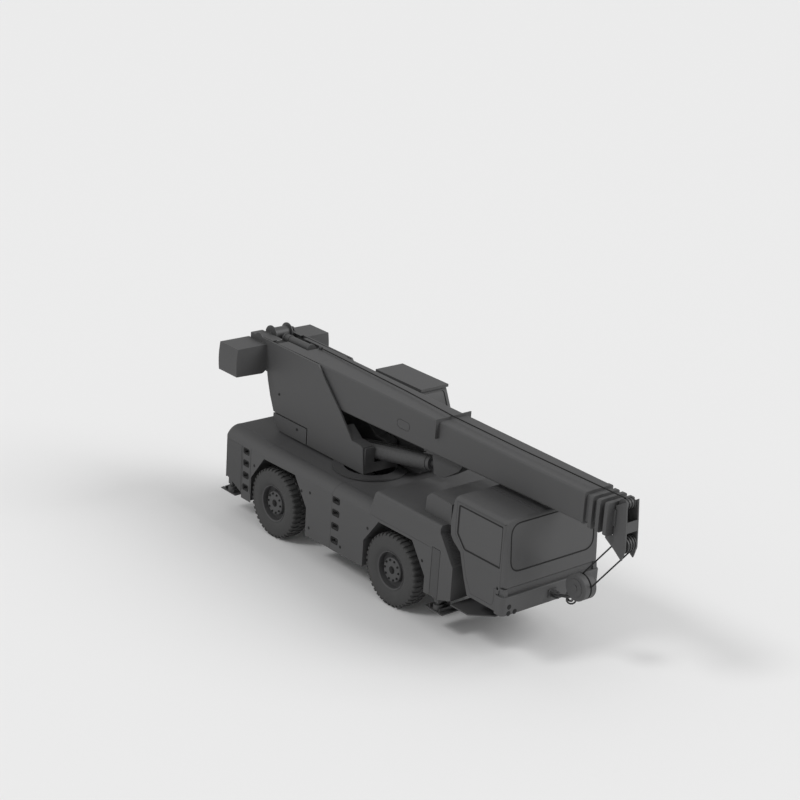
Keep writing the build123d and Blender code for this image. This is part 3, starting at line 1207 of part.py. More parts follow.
names = list(SECTIONS)
for place, (name, (half, bottom, top, rear, front)) in enumerate(SECTIONS.items()):
    outer = BASE_INNER if place == 0 else (
        SECTIONS[names[place - 1]][0] - SECTION_WALL,
        SECTIONS[names[place - 1]][1] + SECTION_WALL,
        SECTIONS[names[place - 1]][2] - SECTION_WALL,
    )
    with BuildPart() as section:
        with BuildSketch(cross_plane(REAR_AXLE_X + rear)):
            with Locations((0, (bottom + top) / 2)):
                RectangleRounded(2 * half, top - bottom, 30)
                RectangleRounded(2 * (half - SECTION_WALL), top - bottom - 2 * SECTION_WALL, 22, mode=Mode.SUBTRACT)
        extrude(amount=front - rear)
        # pads at the tail, running inside the section outside it
        with BuildSketch(cross_plane(REAR_AXLE_X + rear)):
            with Locations((0, (outer[1] + outer[2]) / 2)):
                RectangleRounded(2 * (outer[0] - SLIDE_PLAY), outer[2] - outer[1] - 2 * SLIDE_PLAY, 20)
            with Locations((0, (bottom + top) / 2)):
                RectangleRounded(2 * half - 4, top - bottom - 4, 28, mode=Mode.SUBTRACT)
        extrude(amount=PAD_LENGTH)
        if place < 3:
            inner_half, inner_bottom, inner_top = SECTIONS[names[place + 1]][:3]
            with BuildSketch(cross_plane(REAR_AXLE_X + front - COLLAR_LENGTH)):
                with Locations((0, (COLLAR_Z[0] + COLLAR_Z[1]) / 2)):
                    RectangleRounded(2 * COLLAR_HALF, COLLAR_Z[1] - COLLAR_Z[0], 45)
                with Locations((0, (inner_bottom + inner_top) / 2)):
                    RectangleRounded(
                        2 * (inner_half + SLIDE_PLAY), inner_top - inner_bottom + 2 * SLIDE_PLAY, 30, mode=Mode.SUBTRACT
                    )
            extrude(amount=COLLAR_LENGTH)
        else:
            # boom head: two cheeks, end plate and front plate
            with Locations((REAR_AXLE_X + front - 30, 0, (bottom + top) / 2)):
                Box(30, 2 * half, top - bottom, align=(Align.MIN, Align.CENTER, Align.CENTER))
            for sign in SIDES.values():
                with BuildSketch(side_plane(sign * 130)):
                    with BuildLine():
                        Polyline(
                            *at([
                                (8520, 3620), (8760, 3770), (8810, 3260), (8840, 2870), (8775, 2650), (8555, 2810), (8340, 2940),
                                (8360, 3030), (8520, 3040),
                            ]),
                            close=True,
                        )
                    make_face()
                extrude(amount=-sign * 30)
            with BuildSketch(side_plane(130)):
                with BuildLine():
                    Polyline(*at([(8801, 3385), (8814, 3180), (8796, 3180), (8783, 3385)]), close=True)
                make_face()
            extrude(amount=260)
            for x, z in (HEAD_SHEAVE, TOP_SHEAVE):
                with Locations(Location((REAR_AXLE_X + x, 0, z), (90, 0, 0))):
                    Cylinder(30, 262)
    section.part.label = name
    export_step(section.part, f"parts/{name}.step")

# ---------------------------------------------------------------- sheaves, ropes, hook block
ROPE_RADIUS = 9
PITCH_RADIUS = 150
FALL_Y = 0  # the two falls run in the block's middle plane
BLOCK = (7750, 1710)
BLOCK_RADIUS = 260
BLOCK_HALF = 150
BLOCK_SLOT = 20  # half width between the block's two shells
HEAD_FLANGES = (-92, -32, 32, 92)
with BuildPart() as head_sheaves:
    with Locations(Location((REAR_AXLE_X + HEAD_SHEAVE[0], 0, HEAD_SHEAVE[1]), (90, 0, 0))):
        Cylinder(PITCH_RADIUS - ROPE_RADIUS - 1, 2 * HEAD_FLANGES[-1])
        Cylinder(60, 210)
    for y in HEAD_FLANGES:
        with Locations(Location((REAR_AXLE_X + HEAD_SHEAVE[0], y, HEAD_SHEAVE[1]), (90, 0, 0))):
            Cylinder(PITCH_RADIUS + 10, 14)
    with Locations(Location((REAR_AXLE_X + HEAD_SHEAVE[0], 0, HEAD_SHEAVE[1]), (90, 0, 0))):
        Cylinder(30 + RUN, 260, mode=Mode.SUBTRACT)
head_sheaves.part.label = "head_sheaves"
export_step(head_sheaves.part, "parts/head_sheaves.step")

with BuildPart() as top_sheave:
    with Locations(Location((REAR_AXLE_X + TOP_SHEAVE[0], 0, TOP_SHEAVE[1]), (90, 0, 0))):
        Cylinder(85, 220)
    for y in (-101, -34, 34, 101):
        with Locations(Location((REAR_AXLE_X + TOP_SHEAVE[0], y, TOP_SHEAVE[1]), (90, 0, 0))):
            Cylinder(102, 18)
    with Locations(Location((REAR_AXLE_X + TOP_SHEAVE[0], 0, TOP_SHEAVE[1]), (90, 0, 0))):
        Cylinder(30 + RUN, 260, mode=Mode.SUBTRACT)
top_sheave.part.label = "top_sheave"
export_step(top_sheave.part, "parts/top_sheave.step")

fall_run = (BLOCK[0] - HEAD_SHEAVE[0], BLOCK[1] - HEAD_SHEAVE[1])
fall_length = sqrt(fall_run[0] ** 2 + fall_run[1] ** 2)
fall_x = (fall_run[0] / fall_length, fall_run[1] / fall_length)
with BuildPart() as hook_ropes:
    for side in (-1, 1):
        start = (
            REAR_AXLE_X + HEAD_SHEAVE[0] - side * fall_x[1] * PITCH_RADIUS,
            FALL_Y,
            HEAD_SHEAVE[1] + side * fall_x[0] * PITCH_RADIUS,
        )
        with BuildSketch(Plane(origin=start, x_dir=(0, 1, 0), z_dir=(fall_x[0], 0, fall_x[1]))):
            Circle(ROPE_RADIUS)
        extrude(amount=fall_length)
hook_ropes.part.label = "hook_ropes"
export_step(hook_ropes.part, "parts/hook_ropes.step")

HOOK_REACH = 400  # hook's middle below the block's axle, along the falls
HOOK_BEND = 85
HOOK_BAR = 22
hook_middle = (REAR_AXLE_X + BLOCK[0] + fall_x[0] * HOOK_REACH, 0, BLOCK[1] + fall_x[1] * HOOK_REACH)
hook_top = (hook_middle[0] - fall_x[0] * HOOK_BEND, 0, hook_middle[2] - fall_x[1] * HOOK_BEND)
with BuildPart() as hook_block:
    for sign in SIDES.values():
        with Locations(Location((REAR_AXLE_X + BLOCK[0], sign * (BLOCK_HALF + BLOCK_SLOT) / 2, BLOCK[1]), (90, 0, 0))):
            Cylinder(BLOCK_RADIUS, BLOCK_HALF - BLOCK_SLOT)
    chamfer(hook_block.edges().filter_by(lambda e: abs(abs(e.center().Y) - BLOCK_HALF) < 1), length=16)
    for radius, half in ((PITCH_RADIUS - ROPE_RADIUS - 1, BLOCK_SLOT + 1), (170, BLOCK_HALF + 10), (60, BLOCK_HALF + 22)):
        if radius == 170:
            for sign in SIDES.values():
                with Locations(Location((REAR_AXLE_X + BLOCK[0], sign * (half - 10), BLOCK[1]), (90, 0, 0))):
                    Cylinder(radius, 20)
        else:
            with Locations(Location((REAR_AXLE_X + BLOCK[0], 0, BLOCK[1]), (90, 0, 0))):
                Cylinder(radius, 2 * half)
    # crosshead, shank and hook
    shank = Plane(origin=(REAR_AXLE_X + BLOCK[0], 0, BLOCK[1]), x_dir=(0, 1, 0), z_dir=(fall_x[0], 0, fall_x[1]))
    with BuildSketch(shank.offset(170)):
        Rectangle(110, 130)
    extrude(amount=110)
    with BuildSketch(shank.offset(270)):
        Circle(32)
    extrude(amount=HOOK_REACH - HOOK_BEND - 270)
    with BuildSketch(Plane(origin=hook_top, x_dir=(0, 1, 0), z_dir=(-fall_x[1], 0, fall_x[0]))):
        RegularPolygon(HOOK_BAR, 8)
    revolve(axis=Axis(hook_middle, (0, 1, 0)), revolution_arc=270)
hook_block.part.label = "hook_block"
export_step(hook_block.part, "parts/hook_block.step")
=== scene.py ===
"""Looks of a two-axle mobile crane, built around its packed construction frame.

Metres, +X the travelling direction, +Y the left side, +Z up, Z = 0 the ground.
Each sub-assembly is a class whose fields are its sizes and whose methods build and dress its meshes.
"""
from __future__ import annotations

import json
import logging
import math
from dataclasses import dataclass, field
from enum import Enum

import bmesh
import bpy
import numpy as np
from mathutils import Matrix, Vector


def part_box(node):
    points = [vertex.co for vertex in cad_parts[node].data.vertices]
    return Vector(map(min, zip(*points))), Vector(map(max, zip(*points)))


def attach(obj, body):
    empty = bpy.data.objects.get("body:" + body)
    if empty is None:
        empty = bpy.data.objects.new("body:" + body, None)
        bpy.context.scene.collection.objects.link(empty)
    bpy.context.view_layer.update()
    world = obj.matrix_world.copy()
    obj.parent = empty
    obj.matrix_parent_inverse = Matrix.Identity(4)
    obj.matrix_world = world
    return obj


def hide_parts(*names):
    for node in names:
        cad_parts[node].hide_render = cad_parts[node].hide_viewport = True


LOG = logging.getLogger("crane")
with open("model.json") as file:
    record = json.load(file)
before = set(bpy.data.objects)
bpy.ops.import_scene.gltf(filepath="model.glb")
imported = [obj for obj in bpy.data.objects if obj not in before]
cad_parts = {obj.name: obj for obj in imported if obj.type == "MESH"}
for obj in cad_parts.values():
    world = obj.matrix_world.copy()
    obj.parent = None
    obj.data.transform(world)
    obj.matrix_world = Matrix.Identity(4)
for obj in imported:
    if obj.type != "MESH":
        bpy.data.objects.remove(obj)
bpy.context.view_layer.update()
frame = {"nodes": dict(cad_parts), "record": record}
REAR_AXLE = -3.393  # place of the rear axle along the machine


# ---------------------------------------------------------------- shader graphs
class Wire:
    """A socket of a shader graph. Arithmetic on it adds Math nodes to its graph."""

    def __init__(self, graph: Graph, socket: bpy.types.NodeSocket) -> None:
        """Keep the graph and the socket.

        Args:
            graph: the graph that the socket is in.
            socket: an output socket.
        """
        self.graph = graph
        self.socket = socket

    def __add__(self, other: Wire | float) -> Wire:
        """Sum of two values."""
        return self.graph.math("ADD", self, other)

    def __sub__(self, other: Wire | float) -> Wire:
        """Difference of two values."""
        return self.graph.math("SUBTRACT", self, other)

    def __mul__(self, other: Wire | float) -> Wire:
        """Product of two values."""
        return self.graph.math("MULTIPLY", self, other)

    __radd__ = __add__
    __rmul__ = __mul__

    def clamped(self) -> Wire:
        """This value held between 0 and 1."""
        return self.graph.node("ShaderNodeClamp", {}, Value=self)["Result"]


class Outputs:
    """The output sockets of a node, found by name."""

    def __init__(self, graph: Graph, node: bpy.types.Node) -> None:
        """Keep the graph and the node."""
        self.graph = graph
        self.node = node

    def __getitem__(self, name: str) -> Wire:
        """The output of that name."""
        return Wire(self.graph, self.node.outputs[name])


class Graph:
    """The node graph of one material."""

    def __init__(self, name: str) -> None:
        """Start an empty graph.

        Args:
            name: the material's name.
        """
        self.material = bpy.data.materials.new(name)
        self.material.use_nodes = True
        self.tree = self.material.node_tree
        self.tree.nodes.clear()

    def node(self, kind: str, settings: dict, **sockets: object) -> Outputs:
        """Add a node.

        Args:
            kind: the node's type.
            settings: its properties, set first.
            **sockets: the values or wires of its inputs, with _ for a space in their names. A name
                such as n0 is the input's number.

        Returns:
            The node's outputs.
        """
        made = self.tree.nodes.new(kind)
        for key, value in settings.items():
            setattr(made, key, value)
        for key, value in sockets.items():
            index = int(key[1:]) if key[0] == "n" and key[1:].isdigit() else key.replace("_", " ")
            if isinstance(value, Wire):
                self.tree.links.new(value.socket, made.inputs[index])
            else:
                made.inputs[index].default_value = value
        return Outputs(self, made)

    def math(self, operation: str, first: Wire | float, second: Wire | float) -> Wire:
        """Add a Math node that works on two values."""
        return self.node("ShaderNodeMath", {"operation": operation}, n0=first, n1=second)["Value"]

    def coordinates(self) -> Wire:
        """The piece's own coordinates in metres."""
        return self.node("ShaderNodeTexCoord", {})["Object"]

    def noise(self, where: Wire, scale: float, detail: float = 3.0) -> Wire:
        """Soft noise from 0 to 1.

        Args:
            where: the coordinates it reads.
            scale: how many waves there are to a metre.
            detail: how many finer layers it has.

        Returns:
            The noise's value.
        """
        return self.node("ShaderNodeTexNoise", {}, Vector=where, Scale=scale, Detail=detail)["Fac"]

    def grey(self, value: Wire, tint: tuple[float, float, float]) -> Wire:
        """A colour of that tint, scaled by a value."""
        scaled = self.node("ShaderNodeVectorMath", {"operation": "SCALE"}, n0=tint, Scale=value)
        return scaled["Vector"]

    def bump(self, height: Wire, depth: float) -> Wire:
        """A normal bent by a height that reaches a depth in metres."""
        return self.node("ShaderNodeBump", {}, Height=height, Distance=depth, Strength=1.0)["Normal"]

    def surface(self, **sockets: object) -> bpy.types.Material:
        """Close the graph with the surface shader and return the material."""
        shader = self.node("ShaderNodeBsdfPrincipled", {}, **sockets)
        self.node("ShaderNodeOutputMaterial", {}, Surface=shader["BSDF"])
        return self.material


# ---------------------------------------------------------------- finishes
@dataclass(frozen=True)
class Coating:
    """A dull, even machine coating: faint clouding and fine peel."""

    name: str
    tint: tuple[float, float, float]
    roughness: float
    metallic: float = 0.0
    clouding: float = 0.10
    cloud_scale: float = 2.3
    peel_scale: float = 420.0
    peel_depth: float = 0.00025
    coat: float = 0.0
    fine_ratio: float = 17.0  # waves of the fine clouding to each wave of the broad
    fine_share: float = 0.4
    rough_cloud: float = 0.12
    rough_fine: float = 0.06

    def material(self) -> bpy.types.Material:
        """Build the finish.

        Returns:
            The material: colour times clouding, roughness that follows it, and peel as bump.
        """
        graph = Graph(self.name)
        place = graph.coordinates()
        cloud = graph.noise(place, self.cloud_scale, 4.0) - 0.5
        fine = graph.noise(place, self.cloud_scale * self.fine_ratio, 2.0) - 0.5
        shade = 1.0 + cloud * self.clouding + fine * (self.clouding * self.fine_share)
        rough = (self.roughness + cloud * self.rough_cloud + fine * self.rough_fine).clamped()
        peel = graph.noise(place, self.peel_scale, 1.0)
        return graph.surface(
            Base_Color=graph.grey(shade, self.tint),
            Roughness=rough,
            Metallic=self.metallic,
            Coat_Weight=self.coat,
            Normal=graph.bump(peel, self.peel_depth),
        )


@dataclass(frozen=True)
class Rubber:
    """Tyre rubber: dull, with fine grain and a paler bloom in patches."""

    name: str
    tint: tuple[float, float, float]
    roughness: float
    grain_scale: float = 260.0
    grain_depth: float = 0.0006
    grain_share: float = 0.12
    bloom_scale: float = 6.0
    bloom_share: float = 0.25
    rough_bloom: float = 0.1

    def material(self) -> bpy.types.Material:
        """Build the finish from two noises: bloom for the colour and grain for the bump."""
        graph = Graph(self.name)
        place = graph.coordinates()
        bloom = graph.noise(place, self.bloom_scale, 3.0) - 0.5
        grain = graph.noise(place, self.grain_scale, 2.0)
        shade = 1.0 + bloom * self.bloom_share + (grain - 0.5) * self.grain_share
        return graph.surface(
            Base_Color=graph.grey(shade, self.tint),
            Roughness=(self.roughness + bloom * self.rough_bloom).clamped(),
            Normal=graph.bump(grain, self.grain_depth),
        )


@dataclass(frozen=True)
class Pane:
    """A dark window pane, seen from outside as a dull even sheet."""

    name: str
    tint: tuple[float, float, float]
    roughness: float
    dust_scale: float = 3.5
    dust_share: float = 0.12
    wave_scale: float = 1.7
    wave_depth: float = 0.002

    def material(self) -> bpy.types.Material:
        """Build the finish: an even dark sheet with faint waviness and dust."""
        graph = Graph(self.name)
        place = graph.coordinates()
        dust = graph.noise(place, self.dust_scale, 5.0) - 0.5
        wave = graph.noise(place, self.wave_scale, 1.0)
        return graph.surface(
            Base_Color=graph.grey(1.0 + dust * self.dust_share, self.tint),
            Roughness=(self.roughness + dust * self.dust_share).clamped(),
            Normal=graph.bump(wave, self.wave_depth),
        )


class Finish(Enum):
    """The finishes that the crane's pieces are given."""

    PAINT = Coating("paint", (0.066, 0.066, 0.067), 0.62)
    FRAME = Coating("frame_paint", (0.058, 0.058, 0.059), 0.68)
    WHEEL = Coating("wheel_paint", (0.062, 0.062, 0.063), 0.6)
    STEEL = Coating("bare_steel", (0.062, 0.062, 0.063), 0.5, metallic=0.15, peel_depth=0.0001)
    CAST = Coating("cast_iron", (0.06, 0.06, 0.06), 0.75, peel_scale=150.0, peel_depth=0.0008)
    # trim also colours the side strips, where it is painted shade of grooves
    TRIM = Coating("trim", (0.045, 0.045, 0.046), 0.7)
    # near-black: real dark nuts, bolts, ropes and hoses, and painted shade on the seals, foothold rims,
    # knobs, lamp lenses and hub caps
    DARK = Coating("dark_parts_and_painted_shade", (0.008, 0.008, 0.008), 0.85)
    TYRE = Rubber("tyre_rubber", (0.052, 0.052, 0.052), 0.85)
    GLASS = Pane("window_pane", (0.060, 0.060, 0.061), 0.42)


class Wardrobe:
    """The materials already made, one for each finish."""

    def __init__(self) -> None:
        """Start with nothing made."""
        self.made: dict[Finish, bpy.types.Material] = {}

    def __getitem__(self, finish: Finish) -> bpy.types.Material:
        """The material of that finish, made when first asked for."""
        if finish not in self.made:
            self.made[finish] = finish.value.material()
        return self.made[finish]


WARDROBE = Wardrobe()
SLOT_FINISH = {
    "paint": Finish.PAINT,
    "frame_paint": Finish.FRAME,
    "wheel_paint": Finish.WHEEL,
    "glass": Finish.GLASS,
    "tyre": Finish.TYRE,
    "steel": Finish.STEEL,
    "trim": Finish.TRIM,
    "cast": Finish.CAST,
}
FINISH_SLOT = {finish: slot for slot, finish in SLOT_FINISH.items()}


# ---------------------------------------------------------------- shapes
@dataclass
class Shape:
    """Points and four-cornered faces of one or more forms."""

    points: np.ndarray
    faces: np.ndarray

    @staticmethod
    def grid(points: np.ndarray, wrap_u: bool = False, wrap_v: bool = False) -> Shape:
        """A surface on a grid: face (i, j) joins points (i, j), (i+1, j), (i+1, j+1) and (i, j+1).

        Args:
            points: an array of rows by columns by 3.
            wrap_u: whether the last row joins the first.
            wrap_v: whether the last column joins the first.

        Returns:
            The surface.
        """
        rows, columns = points.shape[:2]
        i, j = np.meshgrid(
            np.arange(rows if wrap_u else rows - 1),
            np.arange(columns if wrap_v else columns - 1),
            indexing="ij",
        )
        after_i, after_j = (i + 1) % rows, (j + 1) % columns
        corners = (i * columns + j, after_i * columns + j, after_i * columns + after_j, i * columns + after_j)
        faces = np.stack([corner.ravel() for corner in corners], axis=1)
        return Shape(points.reshape(-1, 3), faces)

    def placed(self, matrices: np.ndarray) -> Shape:
        """Copies of this shape, one at each matrix.

        Args:
            matrices: an array of n by 4 by 4.

        Returns:
            All copies: point k of copy n is matrix n times point k.
        """
        count = len(self.points)
        ends = np.c_[self.points, np.ones(count)]
        points = np.einsum("nij,kj->nki", matrices, ends)[..., :3].reshape(-1, 3)
        shift = np.arange(len(matrices))[:, None, None] * count
        return Shape(points, (self.faces[None] + shift).reshape(-1, 4))

    @staticmethod
    def joined(shapes: list[Shape]) -> Shape:
        """Several shapes as one."""
        starts = np.cumsum([0] + [len(shape.points) for shape in shapes[:-1]])
        faces = np.concatenate([shape.faces + start for shape, start in zip(shapes, starts)])
        return Shape(np.concatenate([shape.points for shape in shapes]), faces)


def frames(origins: np.ndarray, x_axes: np.ndarray, z_axes: np.ndarray) -> np.ndarray:
    """Matrices that carry local axes to directions at several places.

    Args:
        origins: n places.
        x_axes: n directions of the local x axis.
        z_axes: n directions of the local z axis, square to the x axes.

    Returns:
        An array of n by 4 by 4.
    """
    origins, x_axes, z_axes = (np.atleast_2d(np.asarray(a, float)) for a in (origins, x_axes, z_axes))
    count = max(len(origins), len(x_axes), len(z_axes))
    matrices = np.tile(np.eye(4), (count, 1, 1))
    x_unit = x_axes / np.linalg.norm(x_axes, axis=1, keepdims=True)
    z_unit = z_axes / np.linalg.norm(z_axes, axis=1, keepdims=True)
    matrices[:, :3, 0] = x_unit
    matrices[:, :3, 1] = np.cross(z_unit, x_unit)
    matrices[:, :3, 2] = z_unit
    matrices[:, :3, 3] = origins
    return matrices


def ring(radius: float, height: float, sides: int, phase: float = 0.0) -> np.ndarray:
    """Points of a regular outline: radius times cosine and sine of even steps, at one height."""
    angle = phase + np.arange(sides) * 2 * math.pi / sides
    return np.stack([radius * np.cos(angle), radius * np.sin(angle), np.full(sides, height)], axis=1)


def stack(rings: list[np.ndarray]) -> Shape:
    """A closed form of rings joined one above the other; a ring of radius 0 is a pole."""
    return Shape.grid(np.stack(rings), wrap_v=True)


def turned(profile: list[tuple[float, float]], sides: int) -> Shape:
    """A turned form about local z: each (radius, height) of the profile is carried round a circle."""
    return stack([ring(radius, height, sides) for radius, height in profile])


def hex_bolt(across: float, height: float) -> Shape:
    """A bolt's head: six-sided, chamfered at the top, closed below."""
    radius = across / math.sqrt(3)
    sizes = ((0, 0), (radius, 0), (radius, height * 0.8), (radius * 0.88, height), (0, height))
    return stack([ring(r, h, 6) for r, h in sizes])


def tube(path: np.ndarray, radius: float, sides: int = 12) -> Shape:
    """A round bar along a path: at each point a circle square to the path's direction.

    Args:
        path: n points.
        radius: the bar's radius.
        sides: points on each circle.

    Returns:
        The bar, closed at both ends.
    """
    along = np.gradient(path, axis=0)
    along /= np.linalg.norm(along, axis=1, keepdims=True)
    side = np.cross(along, (0.0, 0.0, 1.0))
    weak = np.linalg.norm(side, axis=1) < 0.05
    side[weak] = np.cross(along[weak], (0.0, 1.0, 0.0))
    side /= np.linalg.norm(side, axis=1, keepdims=True)
    lift = np.cross(side, along)
    angle = np.arange(sides) * 2 * math.pi / sides
    circle = np.cos(angle)[None, :, None] * side[:, None] + np.sin(angle)[None, :, None] * lift[:, None]
    body = path[:, None] + radius * circle
    ends = [np.repeat(path[:1, None], sides, axis=1), np.repeat(path[-1:, None], sides, axis=1)]
    return Shape.grid(np.concatenate([ends[0], body, ends[1]]), wrap_v=True)


def closed_tube(path: np.ndarray, sides_way: np.ndarray, normal: np.ndarray, radius: float) -> Shape:
    """A round bar along a path that closes on itself.

    Args:
        path: n points.
        sides_way: n unit directions square to the path, in its plane.
        normal: the direction square to the path's plane.
        radius: the bar's radius.

    Returns:
        The bar, twelve points to each circle.
    """
    angle = np.arange(12) * 2 * math.pi / 12
    circle = np.cos(angle)[None, :, None] * sides_way[:, None] + np.sin(angle)[None, :, None] * normal
    return Shape.grid(path[:, None] + radius * circle, wrap_u=True, wrap_v=True)


def slab(size: tuple[float, float, float], chamfer: float) -> Shape:
    """A block on local z = 0, centred in x and y, with a chamfered top edge."""
    half_x, half_y, height = size[0] / 2, size[1] / 2, size[2]
    corner = np.array([(1, 1), (-1, 1), (-1, -1), (1, -1)], float)

    def level(cut: float, z: float) -> np.ndarray:
        """The block's outline, drawn in by a cut, at one height."""
        return np.c_[corner * (half_x - cut, half_y - cut), np.full(4, z)]

    pole_low, pole_high = np.zeros((4, 3)), np.tile((0.0, 0.0, height), (4, 1))
    return stack([pole_low, level(0, 0), level(0, height - chamfer), level(chamfer, height), pole_high])


def rounded(corners: list[tuple[float, float]], radius: float, steps: int = 5) -> np.ndarray:
    """An outline with round corners.

    Corner c becomes the curve (1 - t)^2 a + 2 t (1 - t) c + t^2 b, where a and b lie one radius from it.

    Args:
        corners: the outline's corners.
        radius: how far from each corner its curve starts.
        steps: points on each curve.

    Returns:
        n by 2 points.
    """
    here = np.asarray(corners, float)
    before, after = np.roll(here, 1, axis=0) - here, np.roll(here, -1, axis=0) - here
    start = here + radius * before / np.linalg.norm(before, axis=1, keepdims=True)
    end = here + radius * after / np.linalg.norm(after, axis=1, keepdims=True)
    t = np.linspace(0, 1, steps)[None, :, None]
    curve = (1 - t) ** 2 * start[:, None] + 2 * t * (1 - t) * here[:, None] + t**2 * end[:, None]
    return curve.reshape(-1, 2)


def band(outline: np.ndarray, width: float, height: float) -> Shape:
    """A chamfered strip laid along a closed outline on local z = 0.

    An edge at distance d from the outline passes each corner at d (n0 + n1) / (1 + n0 . n1), for the
    normals n0 and n1 of the runs that meet there.
    """
    points = np.asarray(outline, float)
    run = np.roll(points, -1, axis=0) - points
    run /= np.linalg.norm(run, axis=1, keepdims=True)
    normal = np.c_[run[:, 1], -run[:, 0]]
    before = np.roll(normal, 1, axis=0)
    mitre = (before + normal) / (1 + (before * normal).sum(axis=1, keepdims=True))
    half, bevel = width / 2, height * 0.4
    section = (
        (-half, 0),
        (-half, height - bevel),
        (bevel - half, height),
        (half - bevel, height),
        (half, height - bevel),
        (half, 0),
    )
    edges = [np.c_[points + across * mitre, np.full(len(points), up)] for across, up in section]
    return Shape.grid(np.stack(edges), wrap_u=True, wrap_v=True)


def plate(outline: list[tuple[float, float]], height: float) -> Shape:
    """A flat plate of an outline that is convex, from local z = 0 up to a height."""
    points = np.asarray(outline, float)
    middle = np.tile(points.mean(axis=0), (len(points), 1))
    levels = ((middle, 0), (points, 0), (points, height), (middle, height))
    return stack([np.c_[flat, np.full(len(points), up)] for flat, up in levels])


def flank(side: float, depth: float) -> np.ndarray:
    """The matrix of a side view.

    Args:
        side: -1 for the right side of the machine, 1 for the left.
        depth: distance of the view's plane from the middle.

    Returns:
        A matrix whose local x is the distance ahead of the rear axle, y the height and z the way outwards.
    """
    matrix = np.eye(4)
    matrix[:3, :3] = ((1, 0, 0), (0, 0, side), (0, 1, 0))
    matrix[:3, 3] = (REAR_AXLE, side * depth, 0)
    return matrix[None]


def spots(places: list[tuple[float, float]], spot: Shape) -> Shape:
    """Copies of a small shape at several (x, y) places of a plane."""
    matrices = np.tile(np.eye(4), (len(places), 1, 1))
    matrices[:, :2, 3] = places
    return spot.placed(matrices)


def box_outline(x_start: float, x_end: float, y_start: float, y_end: float) -> list[tuple[float, float]]:
    """The four corners of an upright box outline."""
    return [(x_start, y_start), (x_end, y_start), (x_end, y_end), (x_start, y_end)]


def piece(
    name: str,
    shapes: list[Shape],
    finish: Finish,
    body: str,
    crease: float = 35.0,
    replaces: tuple[str, ...] = (),
) -> bpy.types.Object:
    """Make a named piece of the crane from shapes, weld it and hang it on its body.

    Args:
        name: the piece's name.
        shapes: what it is made of.
        finish: its finish.
        body: the moving body that carries it.
        crease: edges sharper than this many degrees stay sharp.
        replaces: the frame's nodes that it stands for.

    Returns:
        The new object.
    """
    whole = Shape.joined(shapes)
    mesh = bpy.data.meshes.new(name)
    mesh.from_pydata(whole.points, [], whole.faces)
    work = bmesh.new()
    work.from_mesh(mesh)
    bmesh.ops.remove_doubles(work, verts=work.verts, dist=1e-6)
    bmesh.ops.dissolve_degenerate(work, edges=work.edges, dist=1e-7)
    bmesh.ops.recalc_face_normals(work, faces=work.faces)
    work.to_mesh(mesh)
    work.free()
    mesh.shade_smooth()
    mesh.set_sharp_from_angle(angle=math.radians(crease))
    made = bpy.data.objects.new(name, mesh)
    bpy.context.scene.collection.objects.link(made)
    made.data.materials.append(WARDROBE[finish])
    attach(made, body)
    if replaces:
        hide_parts(*replaces)
    if finish in FINISH_SLOT:
        FINISH_SLOT[finish]
    LOG.info("%s: %d faces on %s", name, len(mesh.polygons), body)
    return made


# ---------------------------------------------------------------- studio
@dataclass
class Studio:
    """Pale floor, soft light and the camera."""

    eye: tuple[float, float, float] = (25.739, -23.345, 16.490)
    heading: float = 41.153  # degrees that the view turns from the machine's length
    dip: float = 19.964
    roll: float = 3.850
    lens: float = 85.76
    clip_end: float = 500.0
    floor_reach: float = 400.0
    sky: float = 0.55
    # direction to the light by azimuth and height in degrees, strength, softness in degrees
    suns: tuple = field(default=((40.0, 38.0, 1.55, 38.0), (254.0, 46.0, 0.85, 14.0)))

    def floor(self) -> None:
        """A wide pale floor at the wheels' feet."""
        size = self.floor_reach
        mesh = bpy.data.meshes.new("floor")
        corners = [(-size, -size, 0), (size, -size, 0), (size, size, 0), (-size, size, 0)]
        mesh.from_pydata(corners, [], [(0, 1, 2, 3)])
        made = bpy.data.objects.new("floor", mesh)
        bpy.context.scene.collection.objects.link(made)
        graph = Graph("floor")
        pale = graph.surface(Base_Color=(0.8, 0.8, 0.8, 1), Roughness=0.9, Specular_IOR_Level=0.1)
        mesh.materials.append(pale)

    def lights(self) -> None:
        """Even light from all round and two soft suns."""
        world = bpy.data.worlds.new("studio")
        bpy.context.scene.world = world
        world.use_nodes = True
        world.node_tree.nodes["Background"].inputs["Color"].default_value = (1, 1, 1, 1)
        world.node_tree.nodes["Background"].inputs["Strength"].default_value = self.sky
        for number, (azimuth, height, strength, softness) in enumerate(self.suns):
            lamp = bpy.data.lights.new(f"sun_{number}", "SUN")
            lamp.energy = strength
            lamp.angle = math.radians(softness)
            made = bpy.data.objects.new(f"sun_{number}", lamp)
            bpy.context.scene.collection.objects.link(made)
            turn, lift = math.radians(azimuth), math.radians(height)
            back = Vector((math.cos(turn) * math.cos(lift), math.sin(turn) * math.cos(lift), math.sin(lift)))
            made.rotation_euler = back.to_track_quat("Z", "Y").to_euler()
        bpy.context.scene.view_settings.view_transform = "Standard"

    def camera(self) -> None:
        """The camera: its back leans from the heading and dip, then it rolls about its own axis."""
        turn, lift, lean = (math.radians(a) for a in (self.heading, self.dip, self.roll))
        back = Vector((math.cos(lift) * math.cos(turn), -math.cos(lift) * math.sin(turn), math.sin(lift)))
        right = (-back).cross(Vector((0, 0, 1))).normalized()
        up = right.cross(-back)
        right_rolled = math.cos(lean) * right + math.sin(lean) * up
        up_rolled = math.cos(lean) * up - math.sin(lean) * right
        lens = bpy.data.cameras.new("camera")
        lens.lens = self.lens
        lens.clip_end = self.clip_end
        made = bpy.data.objects.new("camera", lens)
        bpy.context.scene.collection.objects.link(made)
        columns = Matrix((right_rolled, up_rolled, back)).transposed().to_4x4()
        made.matrix_world = Matrix.Translation(self.eye) @ columns
        bpy.context.scene.camera = made

    def build(self) -> None:
        """Set up the whole studio."""
        self.floor()
        self.lights()
        self.camera()


